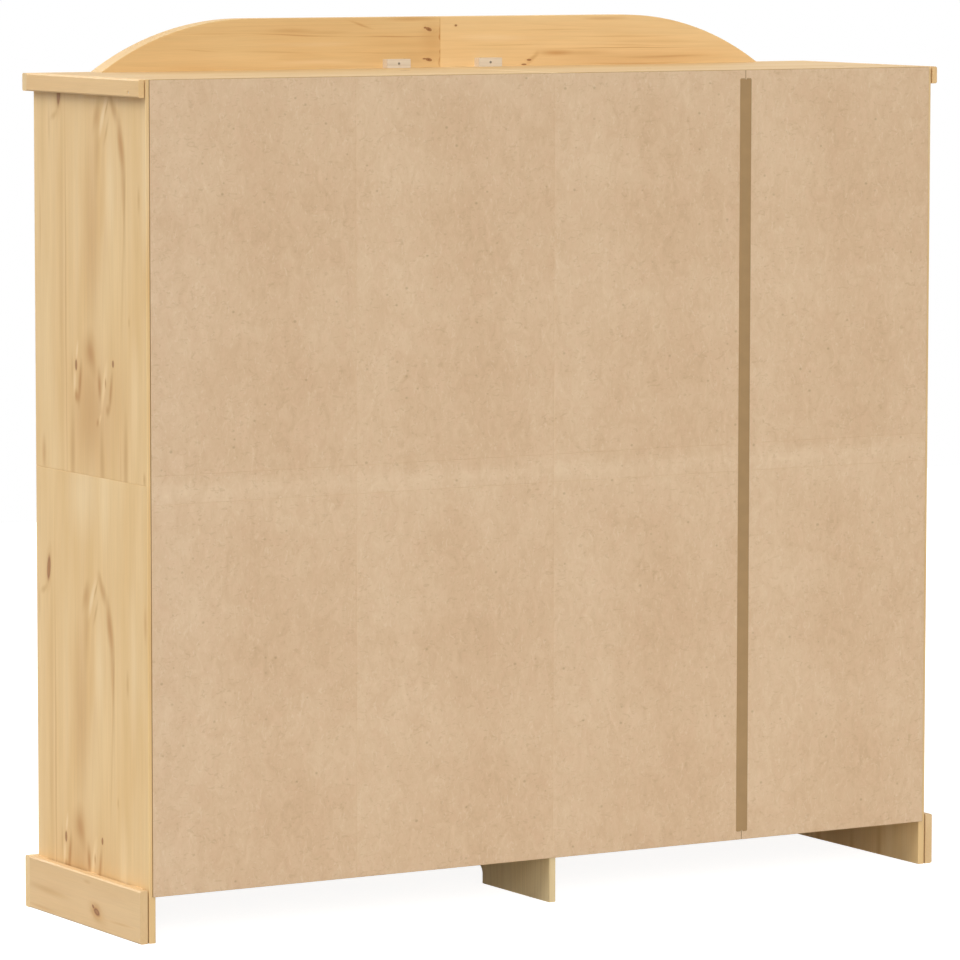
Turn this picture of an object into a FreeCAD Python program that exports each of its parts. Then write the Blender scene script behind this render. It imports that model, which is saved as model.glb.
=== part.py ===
import FreeCAD, Part
import math
import os

# A four-door wardrobe of solid pine in the Mexican style, made to be put together at home.
# The side boards are in two heights, the top, bottom, plinth, cornice and pediment in two
# halves, and the back is two hardboard sheets joined by a plastic strip.
# Frame: origin on the floor under the middle of the carcass, +Z up, +X to the right as seen
# from the front, and the front looks towards -Y. All lengths are in millimetres.

# Carcass
carcass_width = 1929.0      # over the outer faces of the side boards
carcass_depth = 505.0       # depth of the side boards
carcass_height = 1760.0     # top of the top boards
lower_height = 938.0        # height of the seam between the lower and the upper boards
board = 15.0                # thickness of every pine board
board_ease = 1.0            # bevel of the edges of the boards

# Plinth and cornice strips
plinth_height = 110.0
cornice_height = 37.0
front_strip = 20.0          # thickness of the strips across the front
side_cornice_strip = 16.0   # thickness of the cornice along the sides
side_plinth_strip = 21.0    # thickness of the plinth along the sides
strip_ease = 3.0            # bevel of their long edges
relief_depth = 3.5          # shallow hollow in the back of a side strip
relief_end_length = 26.0    # the hollow at the rear end of a side strip
relief_seat = 45.0          # length of each seat on which a side strip bears
strip_screw_radius = 3.0    # screw recess near the rear end of the side cornice
strip_screw_depth = 2.0
strip_screw_inset = 46.0
strip_screw_drop = 27.0

# Middle leg of the lower partition
leg_depth = 277.0
notch_height = 42.0
cove_radius = 22.0

# Hardboard back
back_thickness = 3.0
back_side_inset = 7.5
back_top_inset = 1.0
back_bottom_lap = 14.0      # the sheets cover this much of the bottom boards' rear edges
crease_width = 1.6
crease_depth = 0.5
crease_pair = 59.0          # the two level folds lie this far apart
sheet_gap = 0.8             # between the two sheets, filled by the web of the strip
joint_strip_width = 28.0
joint_strip_flange = 1.2
joint_strip_slip = 0.1      # play between a sheet and a flange
joint_strip_end_gap = 3.5   # to the top and the bottom boards
joint_strip_notch = 3.0     # radius of the round notch in each end
joint_strip_clip = 2.0      # clipped corners of the flanges

# Pediment
pediment_half_length = 823.0
pediment_height = 109.0
pediment_board = 50.0       # thickness
pediment_lap = 17.0         # it stands out over the front cornice by this
pediment_flat_half = 470.0  # half of the level stretch at the top
block_length = 58.0
block_height = 19.0
block_depth = 20.0
block_place = 86.0          # from the middle to the near end of a block
block_hole_radius = 2.4

# Fittings inside
dowel_radius = 4.0
dowel_length = 40.0
dowel_slip = 0.05
dowel_end_room = 1.0
dowel_place = 150.0         # from the middle of the depth
seam_plate_width = 25.0
seam_plate_height = 90.0
seam_plate_thickness = 2.0
seam_plate_place = 195.0
hat_space = 283.0           # from the top of the hat shelf to the top board
hat_shelf_depth = 460.0
hat_shelf_end_gap = 0.8
hat_shelf_rear_gap = 3.0
shelf_pin_radius = 2.5
shelf_pin_slip = 0.05
shelf_pin_in_board = 6.5
shelf_pin_out = 9.0
shelf_pin_inset = 60.0
rail_radius = 12.5
rail_drop = 48.0            # from the underside of the hat shelf to the middle of the rail
socket_slip = 0.3
socket_wall = 3.0
socket_plate_width = 46.0
socket_plate_height = 52.0
socket_plate_thickness = 2.5
socket_plate_clip = 6.0
socket_reach = 15.0         # from the board's face to the front of the cup

# Doors
door_thickness = 20.0
door_floor_gap = 2.0        # over the bottom board, and under the header rail
meeting_gap = 3.0
stile_width = 62.0
top_rail_height = 62.0
mid_rail_height = 70.0
bottom_rail_height = 84.0
groove_width = 6.4
groove_depth = 10.0
groove_place = 7.0          # from the front face of the door
joint_slip = 0.2            # play of tenons and panels in the grooves
panel_tongue_inset = 1.0    # room for a panel to move in its grooves
panel_field_rise = 4.8      # the raised field stands this far before the tongue
panel_bevel_width = 30.0
panel_reveal = 1.0
door_ease = 1.5

# Lift-off hinges: the door's knuckle stands on the knuckle of the board, on one pin
hinge_gap = 3.0             # between a door and the board it hangs on
leaf_thickness = 1.2
leaf_width = 18.0
leaf_height = 72.0
knuckle_radius = 3.2
knuckle_stand = 0.5         # between the knuckles and the front edge of the board
knuckle_play = 0.3
hinge_pin_radius = 1.6
hinge_pin_slip = 0.05
pin_end_depth = 4.0         # the pin ends this far below the top of the upper knuckle
hinge_end_distance = 120.0  # from an end of the door to the middle of its hinge

# Drop-ring pulls
pull_height = 1010.0
pull_plate_radius = 20.0
pull_plate_thickness = 2.0
pull_plate_rim = 1.2
eye_radius = 5.0
eye_length = 13.5
eye_taper = 1.6             # bevel of the eye's front end
eye_hole_place = 8.0        # from the front of the plate to the middle of the hole
ring_radius = 19.0
ring_bar_radius = 2.0
ring_bar_sides = 8
ring_slip = 0.3             # between the ring and its hole where the ring bends away

# Magnetic catches
catch_width = 42.0
catch_depth = 14.0
catch_height = 26.0
catch_lap = 12.0            # the case covers this much of the header rail
catch_gap = 1.0             # between the case and the back of the door
catch_ease = 1.0

# Drawing aid: how far a cutting shape runs past the face it opens
overrun = 5.0

# Places that follow from the sizes above
half_width = carcass_width / 2
inner_half = half_width - board
half_board = board / 2
front_y = -carcass_depth / 2
rear_y = carcass_depth / 2
bottom_top = plinth_height
top_underside = carcass_height - board
cornice_bottom = carcass_height - cornice_height
header_depth = door_thickness + catch_gap
back_half = half_width - back_side_inset
back_quarter = back_half / 2
back_bottom = plinth_height - back_bottom_lap
back_top = carcass_height - back_top_inset
hat_shelf_top = top_underside - hat_space
hat_shelf_underside = hat_shelf_top - board
rail_z = hat_shelf_underside - rail_drop
opening_width = inner_half - half_board
door_width = (opening_width - 2 * hinge_gap - meeting_gap) / 2
door_bottom = bottom_top + door_floor_gap
door_top = cornice_bottom - door_floor_gap
hinge_heights = [
    door_bottom + hinge_end_distance,
    (door_bottom + door_top) / 2,
    door_top - hinge_end_distance,
]
pivot_offset = knuckle_radius + knuckle_stand

X_AXIS = FreeCAD.Vector(1, 0, 0)
Y_AXIS = FreeCAD.Vector(0, 1, 0)
Z_AXIS = FreeCAD.Vector(0, 0, 1)
ORIGIN = FreeCAD.Vector(0, 0, 0)

# An edge runs along an axis when it leaves it by less than this share of its length
level_share = 0.001

# The four inner board faces that carry fittings: place in X, and the side that they look to
INNER_FACES = ((-inner_half, 1), (-half_board, -1), (half_board, 1), (inner_half, -1))


def vector(x, y, z):
    return FreeCAD.Vector(x, y, z)


def block(x0, x1, y0, y1, z0, z1):
    """A box between three pairs of planes."""
    return Part.makeBox(x1 - x0, y1 - y0, z1 - z0, vector(x0, y0, z0))


def cylinder(radius, length, start, axis):
    return Part.makeCylinder(radius, length, start, axis)


def prism(points, direction):
    """A solid that carries a flat outline along a direction."""
    outline = Part.makePolygon(points + points[:1])
    return Part.Face(outline).extrude(direction)


def edges_along(shape, axis):
    """The straight edges of a shape that run along an axis."""
    found = []
    for edge in shape.Edges:
        run = edge.Vertexes[-1].Point - edge.Vertexes[0].Point
        if run.Length > 0 and run.cross(axis).Length < run.Length * level_share:
            found.append(edge)
    return found


def eased(shape, bevel, *axes):
    """The shape with a small bevel on its edges along each axis."""
    edges = [edge for axis in axes for edge in edges_along(shape, axis)]
    return shape.makeChamfer(bevel, edges)


def mirrored(shape):
    """The same piece on the other side of the middle plane."""
    return shape.mirror(ORIGIN, X_AXIS)


def fitted(piece, face_x, out, y, z):
    """A fitting drawn on the plane x = 0, standing out towards +X, moved to a board's face."""
    placed = piece.copy() if out > 0 else mirrored(piece)
    placed.translate(vector(face_x, y, z))
    return placed


def group(solids):
    return Part.makeCompound(solids)


# Side boards and partition

def seam_bores(x):
    """Dowel holes across the seam, in the middle of a board's thickness."""
    depth = dowel_length / 2 + dowel_end_room
    radius = dowel_radius + dowel_slip
    return [
        cylinder(radius, 2 * depth, vector(x, y, lower_height - depth), Z_AXIS)
        for y in (-dowel_place, dowel_place)
    ]


def shelf_pin_places():
    """Depth of the front and of the rear pin of a hat shelf."""
    rear = rear_y - hat_shelf_rear_gap - shelf_pin_inset
    front = rear_y - hat_shelf_rear_gap - hat_shelf_depth + shelf_pin_inset
    return (front, rear)


def shelf_pin_bores(face_x, out):
    """Holes for the shelf pins in a board whose face looks to the side out."""
    radius = shelf_pin_radius + shelf_pin_slip
    bore = cylinder(radius, shelf_pin_in_board, vector(-shelf_pin_in_board, 0, 0), X_AXIS)
    z = hat_shelf_underside - shelf_pin_radius
    return [fitted(bore, face_x, out, y, z) for y in shelf_pin_places()]


def side_board(z0, z1):
    solid = block(inner_half, half_width, front_y, rear_y, z0, z1)
    return eased(solid, board_ease, Y_AXIS, Z_AXIS).cut(seam_bores(half_width - half_board))


def lower_side():
    return side_board(0, lower_height)


def upper_side():
    return side_board(lower_height, carcass_height).cut(shelf_pin_bores(inner_half, -1))


def lower_partition():
    """The partition between the two halves; its rear part runs down to the floor as a leg."""
    leg_front = rear_y - leg_depth
    solid = block(-half_board, half_board, front_y, rear_y, 0, lower_height)
    notch = block(
        -half_board - overrun, half_board + overrun,
        front_y - overrun, leg_front,
        -overrun, notch_height,
    )
    cove_edge = [
        edge for edge in edges_along(notch, X_AXIS)
        if edge.Vertexes[0].Z > 0 and edge.Vertexes[0].Y > front_y
    ]
    return solid.cut([notch.makeFillet(cove_radius, cove_edge)] + seam_bores(0))


def upper_partition():
    solid = block(-half_board, half_board, front_y, rear_y, lower_height, carcass_height)
    pin_bores = shelf_pin_bores(-half_board, -1) + shelf_pin_bores(half_board, 1)
    return solid.cut(seam_bores(0) + pin_bores)


def bottom_board():
    return block(half_board, inner_half, front_y, rear_y, bottom_top - board, bottom_top)


def top_board():
    return block(half_board, inner_half, front_y, rear_y, top_underside, carcass_height)


def header_rail():
    """A rail behind the front cornice that the doors close under."""
    return block(half_board, inner_half, front_y, front_y + header_depth, cornice_bottom, top_underside)


# Plinth and cornice

def relieved_strip(z0, z1, thickness):
    """A side strip, hollow at the back between its seats and at its rear end."""
    outer_x = half_width + thickness
    hollow_x = half_width + relief_depth
    last_seat = rear_y - relief_end_length
    seats = [
        (last_seat - relief_seat, last_seat),
        (-relief_seat / 2, relief_seat / 2),
    ]
    outline = [vector(outer_x, front_y, z0), vector(outer_x, rear_y, z0), vector(hollow_x, rear_y, z0)]
    for y0, y1 in seats:
        outline += [vector(hollow_x, y1, z0), vector(half_width, y1, z0)]
        outline += [vector(half_width, y0, z0), vector(hollow_x, y0, z0)]
    first_seat = front_y + relief_seat
    outline += [vector(hollow_x, first_seat, z0), vector(half_width, first_seat, z0)]
    outline += [vector(half_width, front_y, z0)]
    solid = prism(outline, vector(0, 0, z1 - z0))
    outer_edges = [edge for edge in edges_along(solid, Y_AXIS) if edge.Vertexes[0].X > hollow_x]
    return solid.makeChamfer(strip_ease, outer_edges)


def side_cornice():
    """The cornice along a side, with the recess of its rear screw."""
    solid = relieved_strip(cornice_bottom, carcass_height, side_cornice_strip)
    start = vector(
        half_width + side_cornice_strip - strip_screw_depth,
        rear_y - strip_screw_inset,
        carcass_height - strip_screw_drop,
    )
    return solid.cut(cylinder(strip_screw_radius, strip_screw_depth + overrun, start, X_AXIS))


def side_plinth():
    return relieved_strip(0, plinth_height, side_plinth_strip)


def front_strip_board(z0, z1, side_thickness):
    """Half of a strip across the front; its end covers the end of the side strip."""
    solid = block(0, half_width + side_thickness, front_y - front_strip, front_y, z0, z1)
    return eased(solid, strip_ease, X_AXIS)


# Pediment

def pediment():
    """Half of the pediment: level along the middle, then one arc down to its end."""
    front = front_y - pediment_lap
    top = carcass_height + pediment_height
    run = pediment_half_length - pediment_flat_half
    sweep_radius = (run ** 2 + pediment_height ** 2) / (2 * pediment_height)
    half_turn = math.asin(run / sweep_radius) / 2
    shoulder = vector(pediment_flat_half, front, top)
    crown = shoulder + vector(
        sweep_radius * math.sin(half_turn), 0, sweep_radius * (math.cos(half_turn) - 1),
    )
    tip = vector(pediment_half_length, front, carcass_height)
    sweep = Part.Arc(shoulder, crown, tip).toShape()
    straight = Part.makePolygon([tip, vector(0, front, carcass_height), vector(0, front, top), shoulder])
    outline = Part.Wire([sweep] + straight.Edges)
    solid = Part.Face(outline).extrude(vector(0, pediment_board, 0))
    upper_edges = [
        edge for edge in solid.Edges
        if edge.BoundBox.YLength < board_ease
        and edge.BoundBox.XLength > board_ease
        and edge.BoundBox.ZMax > carcass_height + board_ease
    ]
    return solid.makeChamfer(board_ease, upper_edges)


def pediment_block():
    """A screw block behind the pediment, on the top board, with a screw hole each way."""
    front = front_y - pediment_lap + pediment_board
    solid = block(
        block_place, block_place + block_length,
        front, front + block_depth,
        carcass_height, carcass_height + block_height,
    )
    level_start = vector(
        block_place + block_length / 2,
        front - overrun,
        carcass_height + block_height / 2,
    )
    upright_start = vector(
        block_place + block_height / 2,
        front + block_depth / 2,
        carcass_height - overrun,
    )
    level_hole = cylinder(block_hole_radius, block_depth + 2 * overrun, level_start, Y_AXIS)
    upright_hole = cylinder(block_hole_radius, block_height + 2 * overrun, upright_start, Z_AXIS)
    return solid.cut([level_hole, upright_hole])


# Hardboard back

def upright_crease(x):
    """A folding groove down the rear face of the back."""
    rear = rear_y + back_thickness
    outline = [
        vector(x - crease_width / 2, rear, back_bottom),
        vector(x + crease_width / 2, rear, back_bottom),
        vector(x, rear - crease_depth, back_bottom),
    ]
    return prism(outline, vector(0, 0, back_top - back_bottom))


def level_crease(x0, x1, z):
    """A folding groove across the rear face of a sheet."""
    rear = rear_y + back_thickness
    outline = [
        vector(x0, rear, z - crease_width / 2),
        vector(x0, rear, z + crease_width / 2),
        vector(x0, rear - crease_depth, z),
    ]
    return prism(outline, vector(x1 - x0, 0, 0))


def back_sheet(x0, x1, upright_folds):
    """A hardboard sheet with its fold creases."""
    solid = block(x0, x1, rear_y, rear_y + back_thickness, back_bottom, back_top)
    middle = (back_bottom + back_top) / 2
    level_folds = (middle - crease_pair / 2, middle + crease_pair / 2)
    grooves = [upright_crease(x) for x in upright_folds]
    grooves += [level_crease(x0, x1, z) for z in level_folds]
    for groove in grooves:
        solid = solid.cut(groove)
    return solid


def back_sheet_wide():
    """Three quarters of the width, from the right side."""
    return back_sheet(-back_quarter + sheet_gap / 2, back_half, (0, back_quarter))


def back_sheet_narrow():
    return back_sheet(-back_half, -back_quarter - sheet_gap / 2, ())


def strip_flange(y0, y1, z0, z1):
    """One flange of the joint strip, with clipped corners."""
    half = joint_strip_width / 2
    solid = block(-back_quarter - half, -back_quarter + half, y0, y1, z0, z1)
    return eased(solid, joint_strip_clip, Y_AXIS)


def back_joint_strip():
    """A strip of H section that holds the neighbouring edges of the two sheets."""
    z0 = bottom_top + joint_strip_end_gap
    z1 = top_underside - joint_strip_end_gap
    inner = rear_y - joint_strip_slip
    outer = rear_y + back_thickness + joint_strip_slip
    half_web = sheet_gap / 2 - joint_strip_slip
    web = block(-back_quarter - half_web, -back_quarter + half_web, inner, outer, z0, z1)
    flanges = [
        strip_flange(inner - joint_strip_flange, inner, z0, z1),
        strip_flange(outer, outer + joint_strip_flange, z0, z1),
    ]
    start_y = inner - joint_strip_flange - overrun
    length = outer + joint_strip_flange + overrun - start_y
    notches = [
        cylinder(joint_strip_notch, length, vector(-back_quarter, start_y, z), Y_AXIS)
        for z in (z0, z1)
    ]
    return web.fuse(flanges).removeSplitter().cut(notches)


# Fittings inside

def seam_dowels():
    places = (-half_width + half_board, 0, half_width - half_board)
    bottom = lower_height - dowel_length / 2
    return group([
        cylinder(dowel_radius, dowel_length, vector(x, y, bottom), Z_AXIS)
        for x in places for y in (-dowel_place, dowel_place)
    ])


def seam_plates():
    """Steel plates over the seam, on every inner face."""
    plate = block(
        0, seam_plate_thickness,
        -seam_plate_width / 2, seam_plate_width / 2,
        -seam_plate_height / 2, seam_plate_height / 2,
    )
    return group([
        fitted(plate, face_x, out, y, lower_height)
        for face_x, out in INNER_FACES for y in (-seam_plate_place, seam_plate_place)
    ])


def hat_shelf():
    rear = rear_y - hat_shelf_rear_gap
    solid = block(
        half_board + hat_shelf_end_gap, inner_half - hat_shelf_end_gap,
        rear - hat_shelf_depth, rear,
        hat_shelf_underside, hat_shelf_top,
    )
    return eased(solid, board_ease, X_AXIS)


def shelf_pins():
    pin = cylinder(
        shelf_pin_radius, shelf_pin_in_board + shelf_pin_out,
        vector(-shelf_pin_in_board, 0, 0), X_AXIS,
    )
    z = hat_shelf_underside - shelf_pin_radius
    return group([
        fitted(pin, face_x, out, y, z)
        for face_x, out in INNER_FACES for y in shelf_pin_places()
    ])


def hanging_rail():
    """A round pine rail between two sockets."""
    start = half_board + socket_plate_thickness + socket_slip
    end = inner_half - socket_plate_thickness - socket_slip
    return cylinder(rail_radius, end - start, vector(start, 0, rail_z), X_AXIS)


def cradle_outline(radius, top, x):
    """A half circle below the middle of the rail, with straight sides up to a level top."""
    bottom = Part.Arc(vector(x, -radius, 0), vector(x, 0, -radius), vector(x, radius, 0))
    sides = Part.makePolygon([
        vector(x, radius, 0),
        vector(x, radius, top),
        vector(x, -radius, top),
        vector(x, -radius, 0),
    ])
    return Part.Wire([bottom.toShape()] + sides.Edges)


def rail_socket():
    """A plate with a cup, open at the top so that the rail drops in."""
    bore = rail_radius + socket_slip
    plate = block(
        0, socket_plate_thickness,
        -socket_plate_width / 2, socket_plate_width / 2,
        -socket_plate_height / 2, socket_plate_height / 2,
    )
    plate = eased(plate, socket_plate_clip, X_AXIS)
    reach = vector(socket_reach - socket_plate_thickness, 0, 0)
    cup = Part.Face(cradle_outline(bore + socket_wall, bore, socket_plate_thickness)).extrude(reach)
    hollow = Part.Face(cradle_outline(bore, bore + overrun, socket_plate_thickness)).extrude(reach)
    return plate.fuse(cup.cut(hollow))


def rail_sockets():
    return group([fitted(rail_socket(), face_x, out, 0, rail_z) for face_x, out in INNER_FACES])


# Doors

def door_spans():
    """Left and right edges of the inner and of the outer door of the right half."""
    inner_left = half_board + hinge_gap
    outer_right = inner_half - hinge_gap
    return {
        "inner": (inner_left, inner_left + door_width),
        "outer": (outer_right - door_width, outer_right),
    }


def panel_openings():
    """Heights of the lower and of the upper panel opening; the middle rail lies at the seam."""
    mid_bottom = lower_height - mid_rail_height / 2
    mid_top = lower_height + mid_rail_height / 2
    return ((door_bottom + bottom_rail_height, mid_bottom), (mid_top, door_top - top_rail_height))


def door_groove(x0, x1, z0, z1):
    """The shape that cuts a panel groove between two planes each way."""
    y0 = front_y + groove_place
    return block(x0, x1, y0, y0 + groove_width, z0, z1)


def door_stile(x0):
    """An upright of the door frame, grooved all along its right edge."""
    x1 = x0 + stile_width
    solid = block(x0, x1, front_y, front_y + door_thickness, door_bottom, door_top)
    groove = door_groove(x1 - groove_depth, x1 + overrun, door_bottom - overrun, door_top + overrun)
    return eased(solid, door_ease, Z_AXIS).cut(groove)


def door_rail(x0, x1, z0, z1, grooved_below, grooved_above):
    """A level member between the stiles, with stub tenons in their grooves."""
    body = block(x0, x1, front_y, front_y + door_thickness, z0, z1)
    tenon_length = groove_depth - joint_slip
    tenon_front = front_y + groove_place + joint_slip
    tenon = block(
        x0 - tenon_length, x1 + tenon_length,
        tenon_front, tenon_front + groove_width - 2 * joint_slip,
        z0, z1,
    )
    solid = eased(body, door_ease, X_AXIS).fuse(tenon)
    start = x0 - groove_depth - overrun
    end = x1 + groove_depth + overrun
    if grooved_below:
        solid = solid.cut(door_groove(start, end, z0 - overrun, z0 + groove_depth))
    if grooved_above:
        solid = solid.cut(door_groove(start, end, z1 - groove_depth, z1 + overrun))
    return solid


def door_frame(x0, x1):
    """Two stiles and three rails."""
    left = x0 + stile_width
    right = x1 - stile_width
    (lower_z0, lower_z1), (upper_z0, upper_z1) = panel_openings()
    left_stile = door_stile(x0)
    right_stile = left_stile.mirror(vector((x0 + x1) / 2, 0, 0), X_AXIS)
    return group([
        left_stile,
        right_stile,
        door_rail(left, right, door_bottom, lower_z0, False, True),
        door_rail(left, right, lower_z1, upper_z0, True, True),
        door_rail(left, right, upper_z1, door_top, True, False),
    ])


def rectangle(x0, x1, y, z0, z1):
    corners = [vector(x0, y, z0), vector(x1, y, z0), vector(x1, y, z1), vector(x0, y, z1)]
    return Part.makePolygon(corners + corners[:1])


def raised_panel(x0, x1, z0, z1):
    """A panel with a tongue in the grooves and a field raised on wide bevels."""
    reach = groove_depth - panel_tongue_inset
    tongue_front = front_y + groove_place + joint_slip
    tongue_back = tongue_front + groove_width - 2 * joint_slip
    tongue = block(x0 - reach, x1 + reach, tongue_front, tongue_back, z0 - reach, z1 + reach)
    foot = rectangle(
        x0 + panel_reveal, x1 - panel_reveal,
        tongue_front,
        z0 + panel_reveal, z1 - panel_reveal,
    )
    inset = panel_bevel_width + panel_reveal
    field_y = tongue_front - panel_field_rise
    field = rectangle(x0 + inset, x1 - inset, field_y, z0 + inset, z1 - inset)
    return tongue.fuse(Part.makeLoft([foot, field], True, True))


def door_panels(x0, x1):
    left = x0 + stile_width
    right = x1 - stile_width
    return group([raised_panel(left, right, z0, z1) for z0, z1 in panel_openings()])


# Hinges, drawn on a board whose face is the plane x = 0 and whose front edge is at y = 0

def hinge_leaf(plate_x0, knuckle_z0, knuckle_z1):
    """A leaf with one knuckle; the plate starts at the front edge of the board."""
    plate_x1 = plate_x0 + leaf_thickness
    half = leaf_height / 2
    pivot = vector(hinge_gap / 2, -pivot_offset, knuckle_z0)
    height = knuckle_z1 - knuckle_z0
    plate = block(plate_x0, plate_x1, 0, leaf_width, -half, half)
    neck = block(plate_x0, plate_x1, -pivot_offset, 0, knuckle_z0, knuckle_z1)
    knuckle = cylinder(knuckle_radius, height, pivot, Z_AXIS)
    bore = cylinder(hinge_pin_radius + hinge_pin_slip, height, pivot, Z_AXIS)
    return plate.fuse([neck, knuckle]).removeSplitter().cut(bore)


def fixed_leaf():
    """The leaf on the board, with the lower knuckle."""
    return hinge_leaf(0, -leaf_height / 2, -knuckle_play / 2)


def door_leaf():
    """The leaf on the edge of the door, with the upper knuckle."""
    return hinge_leaf(hinge_gap - leaf_thickness, knuckle_play / 2, leaf_height / 2)


def hinge_pin():
    """The pin; it fills the lower knuckle and ends inside the upper one."""
    start = vector(hinge_gap / 2, -pivot_offset, -leaf_height / 2)
    return cylinder(hinge_pin_radius, leaf_height - pin_end_depth, start, Z_AXIS)


def hinge_pieces(piece, faces):
    """Copies of a hinge piece at every hinge height on each face."""
    return [fitted(piece, face_x, out, front_y, z) for face_x, out in faces for z in hinge_heights]


# Pulls and catches

def pull_plate(x):
    """A round plate with an eye, turned as one profile, and a cross hole for the ring."""
    eye_front = -pull_plate_thickness - eye_length
    profile = [
        vector(0, 0, 0),
        vector(pull_plate_radius, 0, 0),
        vector(pull_plate_radius, pull_plate_rim - pull_plate_thickness, 0),
        vector(pull_plate_radius - pull_plate_rim, -pull_plate_thickness, 0),
        vector(eye_radius, -pull_plate_thickness, 0),
        vector(eye_radius, eye_front + eye_taper, 0),
        vector(eye_radius - eye_taper, eye_front, 0),
        vector(0, eye_front, 0),
    ]
    solid = Part.Face(Part.makePolygon(profile + profile[:1])).revolve(ORIGIN, Y_AXIS, 360)
    bend = ring_radius - math.sqrt(ring_radius ** 2 - eye_radius ** 2)
    hole_start = vector(-eye_radius - overrun, -pull_plate_thickness - eye_hole_place, 0)
    hole_length = 2 * (eye_radius + overrun)
    solid = solid.cut(cylinder(ring_bar_radius + bend + ring_slip, hole_length, hole_start, X_AXIS))
    solid.translate(vector(x, front_y, pull_height))
    return solid


def pull_ring(x):
    """A ring of eight-sided bar that hangs in the eye."""
    y = front_y - pull_plate_thickness - eye_hole_place
    z = pull_height - ring_radius
    corner_angles = [math.pi * (2 * side + 1) / ring_bar_sides for side in range(ring_bar_sides)]
    section = [
        vector(
            x + ring_radius + ring_bar_radius * math.cos(angle),
            y + ring_bar_radius * math.sin(angle),
            z,
        )
        for angle in corner_angles
    ]
    return Part.Face(Part.makePolygon(section + section[:1])).revolve(vector(x, y, z), Y_AXIS, 360)


def catch_case(x):
    """A magnetic catch on the back of the header rail, reaching down behind the door."""
    rear_of_header = front_y + header_depth
    top = cornice_bottom + catch_lap
    solid = block(
        x - catch_width / 2, x + catch_width / 2,
        rear_of_header, rear_of_header + catch_depth,
        top - catch_height, top,
    )
    return eased(solid, catch_ease, Z_AXIS)


def write(name, shape):
    shape.exportStep("parts/" + name + ".step")


def write_pair(name, shape):
    """A piece of the right half and its mirror image."""
    write(name + "_right", shape)
    write(name + "_left", mirrored(shape))


def write_carcass():
    write_pair("side_lower", lower_side())
    write_pair("side_upper", upper_side())
    write("partition_lower", lower_partition())
    write("partition_upper", upper_partition())
    write_pair("bottom_board", bottom_board())
    write_pair("top_board", top_board())
    write_pair("header_rail", header_rail())
    write_pair("cornice_front", front_strip_board(cornice_bottom, carcass_height, side_cornice_strip))
    write_pair("cornice_side", side_cornice())
    write_pair("plinth_front", front_strip_board(0, plinth_height, side_plinth_strip))
    write_pair("plinth_side", side_plinth())
    write_pair("pediment", pediment())
    screw_block = pediment_block()
    write("pediment_blocks", group([screw_block, mirrored(screw_block)]))


def write_back():
    write("back_sheet_wide", back_sheet_wide())
    write("back_sheet_narrow", back_sheet_narrow())
    write("back_joint_strip", back_joint_strip())


def write_fittings():
    write("seam_dowels", seam_dowels())
    write("seam_plates", seam_plates())
    write_pair("hat_shelf", hat_shelf())
    write("shelf_pins", shelf_pins())
    write_pair("hanging_rail", hanging_rail())
    write("rail_sockets", rail_sockets())
    write("hinge_leaves_fixed", group(hinge_pieces(fixed_leaf(), INNER_FACES)))
    write("hinge_pins", group(hinge_pieces(hinge_pin(), INNER_FACES)))


def write_doors():
    faces = {"inner": (half_board, 1), "outer": (inner_half, -1)}
    catches = []
    for place, (x0, x1) in door_spans().items():
        pull_x = x1 - stile_width / 2 if place == "inner" else x0 + stile_width / 2
        write_pair("door_" + place + "_frame", door_frame(x0, x1))
        write_pair("door_" + place + "_panels", door_panels(x0, x1))
        write_pair("door_" + place + "_hinge_leaves", group(hinge_pieces(door_leaf(), [faces[place]])))
        write_pair("door_" + place + "_pull_plate", pull_plate(pull_x))
        write_pair("door_" + place + "_pull_ring", pull_ring(pull_x))
        catches.append(catch_case(pull_x))
    write("catch_cases", group(catches + [mirrored(case) for case in catches]))


os.makedirs("parts", exist_ok=True)
write_carcass()
write_back()
write_fittings()
write_doors()
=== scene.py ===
import logging
import math
from collections.abc import Mapping, Sequence
from dataclasses import dataclass
from enum import Enum
from functools import partial
from typing import ClassVar

import bmesh
import bpy
import numpy as np
from mathutils import Matrix, Vector


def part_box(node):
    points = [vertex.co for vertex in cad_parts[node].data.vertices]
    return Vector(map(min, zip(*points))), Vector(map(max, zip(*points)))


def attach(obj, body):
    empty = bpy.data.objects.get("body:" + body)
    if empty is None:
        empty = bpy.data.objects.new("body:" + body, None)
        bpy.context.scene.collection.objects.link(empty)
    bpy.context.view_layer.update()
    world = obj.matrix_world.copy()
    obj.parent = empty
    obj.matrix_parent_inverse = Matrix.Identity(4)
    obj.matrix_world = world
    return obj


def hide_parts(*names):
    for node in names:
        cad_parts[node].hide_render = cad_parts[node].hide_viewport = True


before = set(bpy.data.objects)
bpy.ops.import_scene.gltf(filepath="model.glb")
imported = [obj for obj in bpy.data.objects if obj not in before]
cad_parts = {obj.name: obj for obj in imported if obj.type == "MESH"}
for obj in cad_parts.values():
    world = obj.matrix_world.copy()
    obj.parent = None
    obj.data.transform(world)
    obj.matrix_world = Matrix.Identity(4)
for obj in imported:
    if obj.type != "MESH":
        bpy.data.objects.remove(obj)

# A four-door wardrobe of solid pine in the Mexican style, seen from behind.
# The frame is in metres: the origin is on the floor under the middle of the carcass, +Z is up,
# +X is to the right as seen from the front, and the doors look towards -Y.
# Sizes in this file are in millimetres until they go into a mesh, a lamp or the camera.

MM = 0.001
FRAME_PIXELS = 960
SENSOR_WIDTH = 36.0
CARCASS = "carcass"
LOG = logging.getLogger("wardrobe")

Array = np.ndarray
Colour = tuple[float, float, float, float]
Triple = tuple[float, float, float]
Material = bpy.types.Material
Node = bpy.types.Node
Socket = bpy.types.NodeSocket
Source = Node | Socket | Colour | Triple | float


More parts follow.
